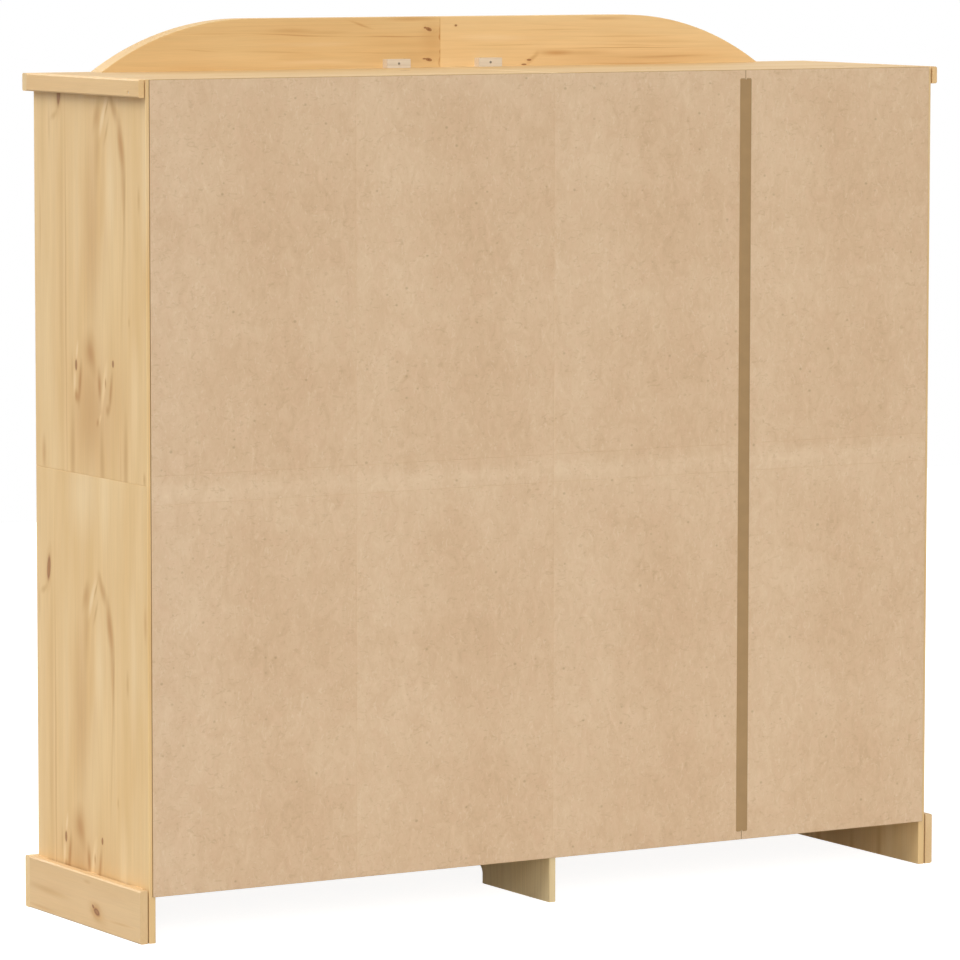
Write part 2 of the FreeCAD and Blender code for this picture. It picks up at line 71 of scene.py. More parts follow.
def linear(code: str) -> Colour:
    """Turns an sRGB hex colour into the linear colour that a shader takes.

    Args:
        code: the colour as #RRGGBB.

    Returns:
        Red, green and blue in linear light, and an opaque alpha.
    """
    share = np.array([int(code[place:place + 2], 16) for place in (1, 3, 5)]) / 255
    bright = ((share + 0.055) / 1.055) ** 2.4
    red, green, blue = np.where(share <= 0.04045, share / 12.92, bright)
    return (float(red), float(green), float(blue), 1.0)


def fill_inputs(
    tree: bpy.types.NodeTree, node: Node, inputs: Mapping[str, Source] | Sequence[Source],
) -> None:
    """Gives the inputs of a node their values and links.

    Args:
        tree: the node tree that the node is in.
        node: the node.
        inputs: values, nodes or output sockets, by input name or in order.
    """
    for key, value in inputs.items() if isinstance(inputs, Mapping) else enumerate(inputs):
        if isinstance(value, Node):
            value = value.outputs[0]
        if isinstance(value, Socket):
            tree.links.new(value, node.inputs[key])
        else:
            node.inputs[key].default_value = value


def add_node(
    tree: bpy.types.NodeTree,
    kind: str,
    inputs: Mapping[str, Source] | Sequence[Source] = (),
    stops: Sequence[tuple[float, Colour | float]] = (),
    **settings: object,
) -> Node:
    """Adds a node with its settings, its ramp stops and its links.

    Args:
        tree: the node tree that gets the node.
        kind: the node's type name, without the ShaderNode that it starts with.
        inputs: values, nodes or output sockets, by input name or in order.
        stops: place and colour, or grey level, of each stop of a colour ramp.
        settings: properties of the node.

    Returns:
        The new node.
    """
    node = tree.nodes.new("ShaderNode" + kind)
    for name, value in settings.items():
        setattr(node, name, value)
    fill_inputs(tree, node, inputs)
    for index, (place, colour) in enumerate(stops):
        elements = node.color_ramp.elements
        element = elements[index] if index < 2 else elements.new(place)
        element.position = place
        element.color = colour if isinstance(colour, tuple) else (colour, colour, colour, 1.0)
    return node


def stretched_pattern(
    node: partial, place: Source, size: Triple, shift: Source = (0.0, 0.0, 0.0), **shape: float,
) -> Node:
    """Lays out a soft random pattern whose blobs are longer along one axis than along another.

    Args:
        node: adds a node to the material's tree.
        place: the place that the pattern is read at.
        size: the size of the blobs along each axis, in the unit of the place.
        shift: what moves the pattern, so that no two boards match.
        shape: the noise's detail, roughness and distortion.

    Returns:
        The pattern, from nought to one.
    """
    per_unit = tuple(1 / length for length in size)
    scaled = node("VectorMath", (place, per_unit, shift), operation="MULTIPLY_ADD")
    return node("TexNoise", {"Vector": scaled, "Scale": 1.0, **shape})


def dress(material: Material, *node_names: str) -> None:
    """Gives CAD nodes their finish, all over.

    Args:
        material: the finish.
        node_names: the nodes that get it.
    """
    for node_name in node_names:
        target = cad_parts[node_name].data
        target.materials.clear()
        target.materials.append(material)


# Finishes


@dataclass(frozen=True)
class Finish:
    """What a surface is made of. Each kind of finish draws its own pattern."""

    name: str
    common_name: ClassVar[str] = ""

    def material(self) -> Material:
        """Makes a material with a single shader, on Object coordinates.

        Returns:
            The new material.
        """
        material = bpy.data.materials.new(self.common_name + self.name)
        material.use_nodes = True
        tree = material.node_tree
        node = partial(add_node, tree)
        inputs = self.draw(node, node("TexCoord").outputs["Object"])
        fill_inputs(tree, tree.nodes["Principled BSDF"], inputs)
        return material

    def draw(self, node: partial, coordinates: Socket) -> dict[str, Source]:
        """Draws the pattern.

        Args:
            node: adds a node to the material's tree.
            coordinates: the Object coordinates, in metres.

        Returns:
            What goes into the shader's inputs, by name.
        """
        raise NotImplementedError


class Grain(Enum):
    """How a board lies: the axes along its grain, across its face, and through its thickness."""

    UPRIGHT_SIDE = (2, 1, 0)
    UPRIGHT_FRONT = (2, 0, 1)
    LEVEL_SHELF = (0, 1, 2)
    LEVEL_FRONT = (0, 2, 1)
    LEVEL_SIDE = (1, 2, 0)


@dataclass(frozen=True)
class Knot:
    """A knot, as an ellipse on a board's face, in mm from the board's origin.

    A faint knot has no dark heart: its rings only bend the grain.
    """

    along: float
    across: float
    length: float
    width: float
    faint: float = 0.0
    lean: float = 0.0


@dataclass(frozen=True)
class Streak:
    """A long soft mark, darker where depth is above nought and paler below: most lie in the grain, and a few
    dark ones are painted shade.
    """

    along: float
    across: float
    length: float
    width: float
    depth: float
    lean: float = 0.0


def knots(*rows: tuple[float, ...]) -> tuple[Knot, ...]:
    """Makes a knot of each row of along, across, length, width, faint and lean."""
    return tuple(Knot(*row) for row in rows)


def streaks(*rows: tuple[float, ...]) -> tuple[Streak, ...]:
    """Makes a streak of each row of along, across, length, width, depth and lean."""
    return tuple(Streak(*row) for row in rows)


def distance_to(node: partial, place: Source, mark: Knot | Streak) -> Socket:
    """Measures how far a point lies from the middle of a mark, in the mark's own half axes.

    Args:
        node: adds a node to the material's tree.
        place: the place in the board.
        mark: the mark.

    Returns:
        The distance, which is one on the edge of the mark.
    """
    local = node(
        "Mapping",
        (place, (mark.along, mark.across, 0.0), (0.0, 0.0, mark.lean), (mark.length, mark.width, 1e4)),
        vector_type="TEXTURE",
    )
    return node("VectorMath", (local,), operation="LENGTH").outputs["Value"]


@dataclass(frozen=True)
class Pine(Finish):
    """Solid pine, planed and sealed with a clear satin varnish.

    It gives the eye a pale straw wood with soft honey growth rings, long fine fibres, reddish
    brown knots that the grain flows round, and a low broad sheen. The growth rings are cones
    about a heart that lies behind the face, so that faces show arches and ends show arcs.
    """

    common_name: ClassVar[str] = "varnished_pine_"
    grain: Grain
    origin: Triple
    seed: float = 0.0
    pale: str = "#EBD0A0"
    straw: str = "#E2BF88"
    late: str = "#C99A5E"
    knots: tuple[Knot, ...] = ()
    streaks: tuple[Streak, ...] = ()
    knot_core: str = "#6E4322"
    knot_rim: str = "#7A4B26"
    fibre_depth: float = 0.05
    ring_spacing: float = 6.5
    ring_depth: float = 0.35
    heart: float = 0.0
    heart_spread: float = 60.0
    heart_depth: float = 45.0
    taper: float = 0.022
    wander: float = 16.0
    plank: float = 118.0
    joint: float = -59.0
    plank_contrast: float = 0.35
    framed: tuple[float, float] | None = None
    two_ends: bool = False

    def draw(self, node: partial, coordinates: Socket) -> dict[str, Source]:
        """Draws the wood: broad tone, growth rings, long marks, fibres, and the knots over them.

        Args:
            node: adds a node to the material's tree.
            coordinates: the Object coordinates, in metres.

        Returns:
            What goes into the shader's inputs, by name.
        """
        place, across, dice = self.board_place(node, coordinates)
        nearness = self.knot_nearness(node, place)
        rings = self.growth_rings(node, place, across, dice, nearness)
        marks = self.long_marks(node, place)

        # Broad change of tone, 400 mm along the grain and 60 mm across it, and from plank to plank
        tone = stretched_pattern(node, place, (400, 60, 60), dice, Detail=2.0)
        plank_number = node("SeparateColor", (dice,)).outputs[2]
        plank_tone = node("Math", (plank_number, self.plank_contrast, tone), operation="MULTIPLY_ADD")
        tone_share = node("MapRange", (plank_tone, 0.32, 0.72 + self.plank_contrast))
        wood = node("MixRGB", (tone_share, linear(self.pale), linear(self.straw)))

        # The late wood of each growth ring, then the dark marks and the pale ones; a few dark marks are painted
        # shade
        late_share = node("Math", (rings, self.ring_depth), operation="MULTIPLY")
        wood = node("MixRGB", (late_share, wood, linear(self.late)))
        for sign, colour in ((1.0, "#B98445"), (-1.0, "#F5DDB2")):
            share = node("Math", (marks, sign), operation="MULTIPLY", use_clamp=True)
            wood = node("MixRGB", (share, wood, linear(colour)))

        # Fibres: streaks 9 mm wide that show from afar, and 0.9 mm ones that show close up
        wide_fibre = stretched_pattern(node, place, (420, 9, 9), dice, Detail=3.0)
        fine_fibre = stretched_pattern(node, place, (60, 0.9, 0.9), dice, Detail=2.0)
        fibre = node("Math", (wide_fibre, 0.75, fine_fibre), operation="MULTIPLY_ADD")
        value = node("MapRange", (fibre, 0.55, 1.2, 1 - self.fibre_depth, 1 + self.fibre_depth))
        wood = node("HueSaturation", {"Value": value, "Color": wood})
        if self.knots:
            wood = self.knotted(node, wood, nearness)

        rough = node("MapRange", (rings, 0.0, 1.0, 0.62, 0.5))
        height = node("Math", (rings, 0.5, fine_fibre), operation="MULTIPLY_ADD")
        # Brushed-out grain stands 0.05 mm proud
        bump = node("Bump", {"Strength": 0.25, "Distance": 0.05 * MM, "Height": height})
        return {"Base Color": wood, "Roughness": rough, "Normal": bump}

    def board_place(self, node: partial, coordinates: Socket) -> tuple[Source, Source, Source]:
        """Finds a point's place in its own board and plank.

        Args:
            node: adds a node to the material's tree.
            coordinates: the Object coordinates, in metres.

        Returns:
            The place along, across and through the board in mm; the place across the plank; and
            three random numbers of the plank.
        """
        axes = node("SeparateXYZ", (coordinates,))
        turned = node("CombineXYZ", [axes.outputs[axis] for axis in self.grain.value])
        start = tuple(-self.origin[axis] for axis in self.grain.value)
        place = node("VectorMath", (turned, (1 / MM,) * 3, start), operation="MULTIPLY_ADD")
        if self.framed:
            place = self.framed_place(node, place)
        parts = node("SeparateXYZ", (place,))
        planks = node("Math", (parts.outputs[1], self.joint), operation="SUBTRACT")
        plank_share = node("Math", (planks, self.plank), operation="DIVIDE")
        number = node("Math", (plank_share,), operation="FLOOR")
        from_edge = node("Math", (number, -self.plank, planks), operation="MULTIPLY_ADD")
        across = node("Math", (from_edge, self.plank / 2), operation="SUBTRACT")
        # Two pieces of one node that stand end to end are different wood
        end = node("Math", (parts.outputs[0],), operation="SIGN") if self.two_ends else 0.0
        key = node("CombineXYZ", (number, end, self.seed))
        dice = node("TexWhiteNoise", {"Vector": key}, noise_dimensions="3D")
        return place, across, dice.outputs["Color"]

    def framed_place(self, node: partial, place: Source) -> Node:
        """Turns the grain level in the rails of a door frame.

        The rails are all that lies nearer to the middle of the door than the stiles do. Each
        stile and rail then lies in a plank of its own.

        Args:
            node: adds a node to the material's tree.
            place: the place in the whole frame, with the grain of the stiles.

        Returns:
            The place in the frame, with the grain of the stile or rail that the point is in.
        """
        half_between, rail_pitch = self.framed
        parts = node("SeparateXYZ", (place,))
        aside = node("Math", (parts.outputs[1],), operation="ABSOLUTE")
        in_rail = node("Math", (aside, half_between), operation="LESS_THAN")
        # The middle rail lies at nought, and each of the others lies one pitch from it
        shifted = node("Math", (parts.outputs[0], rail_pitch / 2), operation="ADD")
        rail_middle = node("Math", (shifted, rail_pitch), operation="SNAP")
        from_rail = node("Math", (parts.outputs[0], rail_middle), operation="SUBTRACT")
        # The rails' wood is taken three pitches apart, so that no rail matches another
        along = node("Math", (rail_middle, 3.0, parts.outputs[1]), operation="MULTIPLY_ADD")
        rail = node("CombineXYZ", (along, from_rail, parts.outputs[2]))
        return node("MixRGB", (in_rail, place, rail))

    def growth_rings(
        self, node: partial, place: Source, across: Source, dice: Source, nearness: Source | None,
    ) -> Node:
        """Works out the late wood of the growth rings.

        The radius is the distance from the heart, plus the taper times the place along the
        grain, plus a slow wander. It is divided by the ring spacing. In each ring the wood
        darkens slowly and ends sharply.

        Args:
            node: adds a node to the material's tree.
            place: the place in the board.
            across: the place across the plank.
            dice: three random numbers of the plank.
            nearness: how near the closest knot is, or None.

        Returns:
            The share of late wood.
        """
        parts = node("SeparateXYZ", (place,))
        numbers = node("SeparateColor", (dice,))
        spread = (self.heart - self.heart_spread, self.heart + self.heart_spread)
        heart = node("MapRange", (numbers.outputs[0], 0.0, 1.0, *spread))
        aside = node("Math", (across, heart), operation="SUBTRACT")
        depth = self.heart_depth
        behind = node("Math", (numbers.outputs[1], depth, depth), operation="MULTIPLY_ADD")
        deep = node("Math", (parts.outputs[2], behind), operation="ADD")
        spoke = node("CombineXYZ", (0.0, aside, deep))
        radius = node("VectorMath", (spoke,), operation="LENGTH").outputs["Value"]
        wander = stretched_pattern(node, place, (650, 140, 140), dice, Detail=2.0)
        swayed = node("Math", (wander, self.wander, radius), operation="MULTIPLY_ADD")
        tapered = node("Math", (parts.outputs[0], self.taper, swayed), operation="MULTIPLY_ADD")
        phase = node("Math", (tapered, self.ring_spacing), operation="DIVIDE")
        if nearness is not None:
            bend = node("MapRange", (nearness, 0.0, 3.2, 2.2, 0.0), interpolation_type="SMOOTHSTEP")
            phase = node("Math", (phase, bend), operation="ADD")
        share = node("Math", (phase,), operation="FRACT")
        profile = node(
            "ValToRGB", (share,),
            stops=((0.0, 0.0), (1.0, 0.0), (0.4, 0.12), (0.74, 0.6), (0.88, 1.0), (0.95, 0.75)),
        )
        number = node("Math", (phase,), operation="FLOOR")
        ring_dice = node("TexWhiteNoise", {"W": number}, noise_dimensions="1D")
        strength = node("MapRange", (ring_dice.outputs["Value"], 0.0, 1.0, 0.25, 1.0))
        return node("Math", (profile, strength), operation="MULTIPLY")

    def knot_nearness(self, node: partial, place: Source) -> Source | None:
        """Measures the distance to the closest knot.

        Args:
            node: adds a node to the material's tree.
            place: the place in the board.

        Returns:
            The distance in that knot's own half axes, or None on a clear board.
        """
        nearest = None
        for knot in self.knots:
            length = distance_to(node, place, knot)
            if knot.faint:
                length = node("Math", (length, knot.faint), operation="ADD")
            nearest = length if nearest is None else node("Math", (nearest, length), operation="MINIMUM")
        return nearest

    def long_marks(self, node: partial, place: Source) -> Source:
        """Adds up the long marks: each is full in its middle and fades to nothing at its edge.

        Args:
            node: adds a node to the material's tree.
            place: the place in the board.

        Returns:
            The sum, above nought where the wood is darker.
        """
        # The marks follow a grain that wanders by up to 15 mm along it and 3.5 mm across
        sway = stretched_pattern(node, place, (180, 30, 30), Detail=1.0)
        swayed = node(
            "VectorMath", (sway.outputs["Color"], (30.0, 7.0, 0.0), place), operation="MULTIPLY_ADD",
        )
        centred = node("VectorMath", (swayed, (-15.0, -3.5, 0.0)), operation="ADD")
        total: Source = 0.0
        for streak in self.streaks:
            length = distance_to(node, centred, streak)
            share = node("MapRange", (length, 0.0, 1.0, streak.depth, 0.0), interpolation_type="SMOOTHSTEP")
            total = node("Math", (total, share), operation="ADD")
        return total

    def knotted(self, node: partial, wood: Source, nearness: Source) -> Node:
        """Lays the knots over the wood.

        Args:
            node: adds a node to the material's tree.
            wood: the colour of the wood.
            nearness: the distance to the closest knot.

        Returns:
            The colour with the knots in it.
        """
        share = node("Math", (nearness, 2.0), operation="DIVIDE")
        shades = (
            (0.0, self.knot_core), (1.0, self.late), (0.3, "#A36F3B"), (0.42, self.knot_rim),
            (0.52, "#B5834C"), (0.66, "#DDB57E"),
        )
        tint = node("ValToRGB", (share,), stops=[(stop, linear(shade)) for stop, shade in shades])
        cover = node(
            "ValToRGB", (share,),
            stops=((0.0, 1.0), (1.0, 0.0), (0.44, 0.95), (0.52, 0.6), (0.72, 0.22)),
        )
        return node("MixRGB", (cover, wood, tint))


def board_knots(seed: int, half_length: float, half_width: float, count: int) -> tuple[Knot, ...]:
    """Scatters knots over a board that the photograph doesn't show.

    Args:
        seed: makes the same places each time.
        half_length: half of the board's length.
        half_width: half of its width.
        count: how many knots.

    Returns:
        The knots, in mm from the board's middle.
    """
    dice = np.random.default_rng(seed)
    along = dice.uniform(-0.92, 0.92, count) * half_length
    across = dice.uniform(-0.8, 0.8, count) * half_width
    width = dice.uniform(3.0, 9.0, count)
    length = width * dice.uniform(1.1, 2.2, count)
    faint = dice.choice([0.0, 0.0, 0.35], count)
    rows = zip(along, across, length, width, faint)
    return knots(*([round(float(value), 2) for value in row] for row in rows))


@dataclass(frozen=True)
class Hardboard(Finish):
    """Hardboard: pressed brown wood fibre, bare and matt.

    It gives the eye a flat dry buff face with short fibres, faint dark and pale marks, flecks
    of bark, broad cloudy patches, painted shade across each folded quarter, and a dark brown sawn edge.
    """

    common_name: ClassVar[str] = "hardboard_"
    quarter: float
    fold_start: float
    field_height: float
    field_top: float
    edges: tuple[float, float, float, float]

    def draw(self, node: partial, coordinates: Socket) -> dict[str, Source]:
        """Draws the pressed fibre: the fold tones with painted shade across the quarters, clouds, marks and
        flecks, and the sawn edge.

        Args:
            node: adds a node to the material's tree.
            coordinates: the Object coordinates, in metres.

        Returns:
            What goes into the shader's inputs, by name.
        """
        place = node("VectorMath", (coordinates, (1 / MM,) * 3), operation="MULTIPLY")
        mottle = stretched_pattern(node, place, (26, 1, 38), Detail=3.0, Roughness=0.6, Distortion=1.0)
        fibre = stretched_pattern(node, place, (2.6, 1, 7), Detail=3.0, Distortion=0.8)
        tone: Source = 0.285
        for part, weight in (*self.broad_tones(node, place), (mottle, 0.55), (fibre, 0.18)):
            tone = node("Math", (part, weight, tone), operation="MULTIPLY_ADD")
        face = node(
            "ValToRGB", (node("MapRange", (tone, 0.55, 1.45)),),
            stops=((0.0, linear("#BA9774")), (1.0, linear("#E7CDAB")), (0.5, linear("#D5B591"))),
        )
        # Where the mottle is strong, the board is a little more pink
        blush = node("MapRange", (mottle.outputs["Color"], 0.45, 0.65, 0.0, 0.22))
        face = node("MixRGB", (blush, face, linear("#DCB595")))
        # Faint marks 15 mm long, dark ones level and pale ones upright
        for size, depth, shade in (((18, 1, 9), 0.24, "#B08E68"), ((9, 1, 18), 0.26, "#EBD6B8")):
            marks = stretched_pattern(node, place, size, Detail=1.0, Distortion=1.6)
            share = node("MapRange", (marks, 0.6, 0.74, 0.0, depth))
            face = node("MixRGB", (share, face, linear(shade)))
        # Flecks of bark up to 8 mm wide, in half of the cells of a pattern of 24 by 20 mm
        fleck_place = node("VectorMath", (place, (1 / 24, 1.0, 1 / 20)), operation="MULTIPLY")
        flecks = node("TexVoronoi", {"Vector": fleck_place, "Scale": 1.0}, feature="F1")
        fleck_dice = node("SeparateColor", (flecks.outputs["Color"],))
        reach = node("MapRange", (fleck_dice.outputs[0], 0.5, 1.0, 0.0, 0.2))
        inside = node("Math", (reach, flecks.outputs["Distance"]), operation="SUBTRACT")
        fleck_share = node("MapRange", (inside, 0.0, 0.12, 0.0, 0.36))
        face = node("MixRGB", (fleck_share, face, linear("#94744F")))
        face = node("MixRGB", (self.edge_share(node, place), face, linear("#86683F")))
        bump = node("Bump", {"Strength": 0.3, "Distance": 0.08 * MM, "Height": fibre})
        return {"Base Color": face, "Roughness": 0.85, "Specular IOR Level": 0.3, "Normal": bump}

    def broad_tones(self, node: partial, place: Source) -> tuple[tuple[Source, float], ...]:
        """Draws the painted shade of the folded quarters, the tones of the fields, and the clouds in them.

        Args:
            node: adds a node to the material's tree.
            place: the place in mm.

        Returns:
            Each tone and its weight.
        """
        axes = node("SeparateXYZ", (place,))
        # Painted shade of the folded quarters: each quarter starts pale at its fold, is darkest past its
        # middle, and ends a little paler, as light falls on a quarter that bulges between its folds
        from_fold = node("Math", (self.fold_start, axes.outputs[0]), operation="SUBTRACT")
        quarters = node("Math", (from_fold, self.quarter), operation="DIVIDE")
        in_quarter = node("Math", (quarters,), operation="FRACT")
        quarter_shade = node(
            "ValToRGB", (in_quarter,),
            stops=(
                (0.0, 0.74), (1.0, 0.44), (0.14, 0.72), (0.3, 0.56), (0.5, 0.28), (0.6, 0.28), (0.75, 0.35),
            ),
        )
        # Each field starts with a soft pale band at its upper edge, which fades over 130 mm
        from_top = node("Math", (self.field_top, axes.outputs[2]), operation="SUBTRACT")
        fields = node("Math", (from_top, self.field_height), operation="DIVIDE")
        in_field = node("Math", (fields,), operation="FRACT")
        field_tone = node(
            "ValToRGB", (in_field,),
            stops=(
                (0.0, 0.85), (1.0, 0.82), (0.015, 0.97), (0.04, 0.66), (0.08, 0.58), (0.15, 0.46),
                (0.28, 0.55), (0.36, 0.53), (0.44, 0.43), (0.52, 0.5), (0.76, 0.44), (0.965, 0.44),
                (0.985, 0.56),
            ),
        )
        # The same broad clouds come back in each quarter of each field
        tile = node("CombineXYZ", (in_quarter, 0.0, in_field))
        tile = node("VectorMath", (tile, (2.6, 1.0, 4.2)), operation="MULTIPLY")
        clouds = node("TexNoise", {"Vector": tile, "Scale": 1.0, "Detail": 3.0, "Roughness": 0.6})
        return ((clouds, 0.4), (quarter_shade, 0.21), (field_tone, 0.3))

    def edge_share(self, node: partial, place: Source) -> Node:
        """Finds the sawn edge, which is all that lies within 0.3 mm of the sheet's outline.

        Args:
            node: adds a node to the material's tree.
            place: the place in mm.

        Returns:
            One on the edge and nought on the face.
        """
        left, right, bottom, top = self.edges
        middle = ((left + right) / 2, 0.0, (bottom + top) / 2)
        half = ((right - left) / 2, 1e4, (top - bottom) / 2)
        aside = node("VectorMath", (place, middle), operation="SUBTRACT")
        aside = node("VectorMath", (aside,), operation="ABSOLUTE")
        beyond = node("VectorMath", (aside, half), operation="SUBTRACT")
        axes = node("SeparateXYZ", (beyond,))
        nearest = node("Math", (axes.outputs[0], axes.outputs[2]), operation="MAXIMUM")
        return node("MapRange", (nearest, -0.3, -0.1))


@dataclass(frozen=True)
class MouldedPlastic(Finish):
    """Polypropylene, injection moulded with a fine matt grain.

    It gives the eye an even colour with a soft wide gloss and a slightly uneven skin.
    """

    common_name: ClassVar[str] = "moulded_polypropylene_"
    colour: str
    roughness: float = 0.5

    def draw(self, node: partial, coordinates: Socket) -> dict[str, Source]:
        """Draws a spark-eroded grain of 0.5 mm and a faint cloud in the colour.

        Args:
            node: adds a node to the material's tree.
            coordinates: the Object coordinates, in metres.

        Returns:
            What goes into the shader's inputs, by name.
        """
        cloud = node("TexNoise", {"Vector": coordinates, "Scale": 1 / (30 * MM), "Detail": 2.0})
        value = node("MapRange", (cloud, 0.3, 0.7, 0.95, 1.05))
        colour = node("HueSaturation", {"Value": value, "Color": linear(self.colour)})
        skin = node("TexNoise", {"Vector": coordinates, "Scale": 1 / (0.5 * MM), "Detail": 1.0})
        bump = node("Bump", {"Strength": 0.2, "Distance": 0.03 * MM, "Height": skin})
        return {"Base Color": colour, "Roughness": self.roughness, "IOR": 1.49, "Normal": bump}


@dataclass(frozen=True)
class WaxedIron(Finish):
    """Mild steel, blackened, hammered and waxed.

    It gives the eye a near-black brown metal with shallow dents and a worn, broken sheen.
    """

    name: str = "blackened_iron"
    dark: str = "#1E1B19"
    worn: str = "#4A443E"

    def draw(self, node: partial, coordinates: Socket) -> dict[str, Source]:
        """Draws hammer dents of 5 mm and wear of 1.5 mm.

        Args:
            node: adds a node to the material's tree.
            coordinates: the Object coordinates, in metres.

        Returns:
            What goes into the shader's inputs, by name.
        """
        dents = node("TexVoronoi", {"Vector": coordinates, "Scale": 1 / (5 * MM)}, feature="SMOOTH_F1")
        wear = node("TexNoise", {"Vector": coordinates, "Scale": 1 / (1.5 * MM), "Detail": 4.0})
        wear_share = node("MapRange", (wear, 0.45, 0.75))
        colour = node("MixRGB", (wear_share, linear(self.dark), linear(self.worn)))
        rough = node("MapRange", (wear, 0.3, 0.7, 0.5, 0.36))
        bump = node("Bump", {"Strength": 0.5, "Distance": 0.25 * MM, "Height": dents.outputs["Distance"]})
        return {"Base Color": colour, "Metallic": 0.85, "Roughness": rough, "Normal": bump}


@dataclass(frozen=True)
class ZincSteel(Finish):
    """Mild steel, bright zinc plated.

    It gives the eye a light bluish grey metal with a fine crystalline mottle and soft gloss.
    """

    name: str = "zinc_plated_steel"

    def draw(self, node: partial, coordinates: Socket) -> dict[str, Source]:
        """Draws crystals of 1.2 mm.

        Args:
            node: adds a node to the material's tree.
            coordinates: the Object coordinates, in metres.

        Returns:
            What goes into the shader's inputs, by name.
        """
        crystal = node("TexVoronoi", {"Vector": coordinates, "Scale": 1 / (1.2 * MM)}, feature="F1")
        number = node("SeparateColor", (crystal.outputs["Color"],))
        colour = node("MixRGB", (number, linear("#A9ACAE"), linear("#C4C7C8")))
        rough = node("MapRange", (number, 0.0, 1.0, 0.3, 0.42))
        return {"Base Color": colour, "Metallic": 1.0, "Roughness": rough}


@dataclass(frozen=True)
class Beech(Finish):
    """Turned beech dowel with fluted sides.

    It gives the eye a pinkish tan wood with short dark flecks.
    """

    name: str = "turned_beech"

    def draw(self, node: partial, coordinates: Socket) -> dict[str, Source]:
        """Draws flecks 0.4 mm wide and 4 mm long.

        Args:
            node: adds a node to the material's tree.
            coordinates: the Object coordinates, in metres.

        Returns:
            What goes into the shader's inputs, by name.
        """
        flecks = stretched_pattern(node, coordinates, (0.4 * MM, 0.4 * MM, 4 * MM), Detail=1.0)
        share = node("MapRange", (flecks, 0.5, 0.7))
        colour = node("MixRGB", (share, linear("#DDB48A"), linear("#B98459")))
        return {"Base Color": colour, "Roughness": 0.6}


# Surfaces


@dataclass(frozen=True)
class Patch:
    """A grid of points, rows by columns, closed round its columns, and from end to end if told."""

    points: Array
    ends_closed: bool = False

    def faces(self, first: int) -> Array:
        """Numbers the corners of the four-sided faces.

        Args:
            first: the number of the patch's first point in its mesh.

        Returns:
            Four corner numbers for each face.
        """
        rows, columns = self.points.shape[:2]
        last_row = rows if self.ends_closed else rows - 1
        row, column = np.meshgrid(np.arange(last_row), np.arange(columns), indexing="ij")
        next_row, next_column = (row + 1) % rows, (column + 1) % columns
        corners = (
            row * columns + column,
            row * columns + next_column,
            next_row * columns + next_column,
            next_row * columns + column,
        )
        return first + np.stack(corners, axis=-1).reshape(-1, 4)


def make_piece(
    name: str,
    patches: Sequence[Patch],
    body: str,
    material: Material,
    replaced: Sequence[str] = (),
) -> None:
    """Makes one object from patches, in place, and lets it ride on a body.

    Args:
        name: the piece's name.
        patches: closed patches, in mm, in the frame of the whole object.
        body: the body that carries it.
        material: its finish.
        replaced: CAD nodes that it stands for.
    """
    points = np.concatenate([patch.points.reshape(-1, 3) for patch in patches]) * MM
    starts = np.cumsum([0] + [patch.points.size // 3 for patch in patches])
    faces = np.concatenate([patch.faces(first) for patch, first in zip(patches, starts)])
    mesh = bpy.data.meshes.new(name)
    mesh.from_pydata(points.tolist(), [], faces.tolist())
    working = bmesh.new()
    working.from_mesh(mesh)
    bmesh.ops.remove_doubles(working, verts=working.verts, dist=0.002 * MM)
    bmesh.ops.recalc_face_normals(working, faces=working.faces)
    working.to_mesh(mesh)
    working.free()
    mesh.polygons.foreach_set("use_smooth", np.ones(len(mesh.polygons), dtype=bool))
    mesh.set_sharp_from_angle(angle=math.radians(38))
    mesh.materials.append(material)
    piece = bpy.data.objects.new(name, mesh)
    bpy.context.scene.collection.objects.link(piece)
    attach(piece, body)
    if replaced:
        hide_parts(*replaced)
    LOG.info("%s: %d faces, rides on %s", name, len(mesh.polygons), body)


def full_turn(count: int) -> Array:
    """Angles spread evenly round a full turn."""
    return np.linspace(0.0, 2 * math.pi, count, endpoint=False)


def upright_basis(normal: Triple) -> Array:
    """Finds two directions in a face and the direction out of it.

    Args:
        normal: the direction out of the face, along an axis.

    Returns:
        A matrix whose rows are the level direction, the upward one and the outward one.
    """
    out = np.asarray(normal, float)
    up = np.array([0.0, 0.0, 1.0]) if abs(out[2]) < 0.5 else np.array([0.0, 1.0, 0.0])
    return np.array([np.cross(up, out), up, out])


def screw_head(centre: Triple, normal: Triple, radius: float) -> Patch:
    """A countersunk screw head with a cross recess.

    The face stands 0.12 radii proud in its middle and falls to the rim with the square of the
    distance, and all of it is 0.03 radii higher than that. Where a point lies within 0.17 of
    the radius of either cross line, and within 0.62 of the radius of the middle, it sinks by
    0.35 radii.

    Args:
        centre: the middle of the head on the face that it lies in, in mm.
        normal: the direction out of that face.
        radius: the radius of the head.

    Returns:
        The closed patch.
    """
    shares = np.array([0.0, 0.14, 0.2, 0.45, 0.6, 0.66, 0.9, 1.0, 1.0, 0.0])[:, None]
    turn = full_turn(24)
    level, upward = shares * np.cos(turn), shares * np.sin(turn)
    in_cross = (np.minimum(abs(level), abs(upward)) < 0.17) & (shares < 0.62)
    height = 0.12 * (1 - shares ** 2) - 0.35 * in_cross
    height[-2:] = -0.25
    local = np.stack([level, upward, height + 0.03], axis=-1) * radius
    return Patch(local @ upright_basis(normal) + centre)


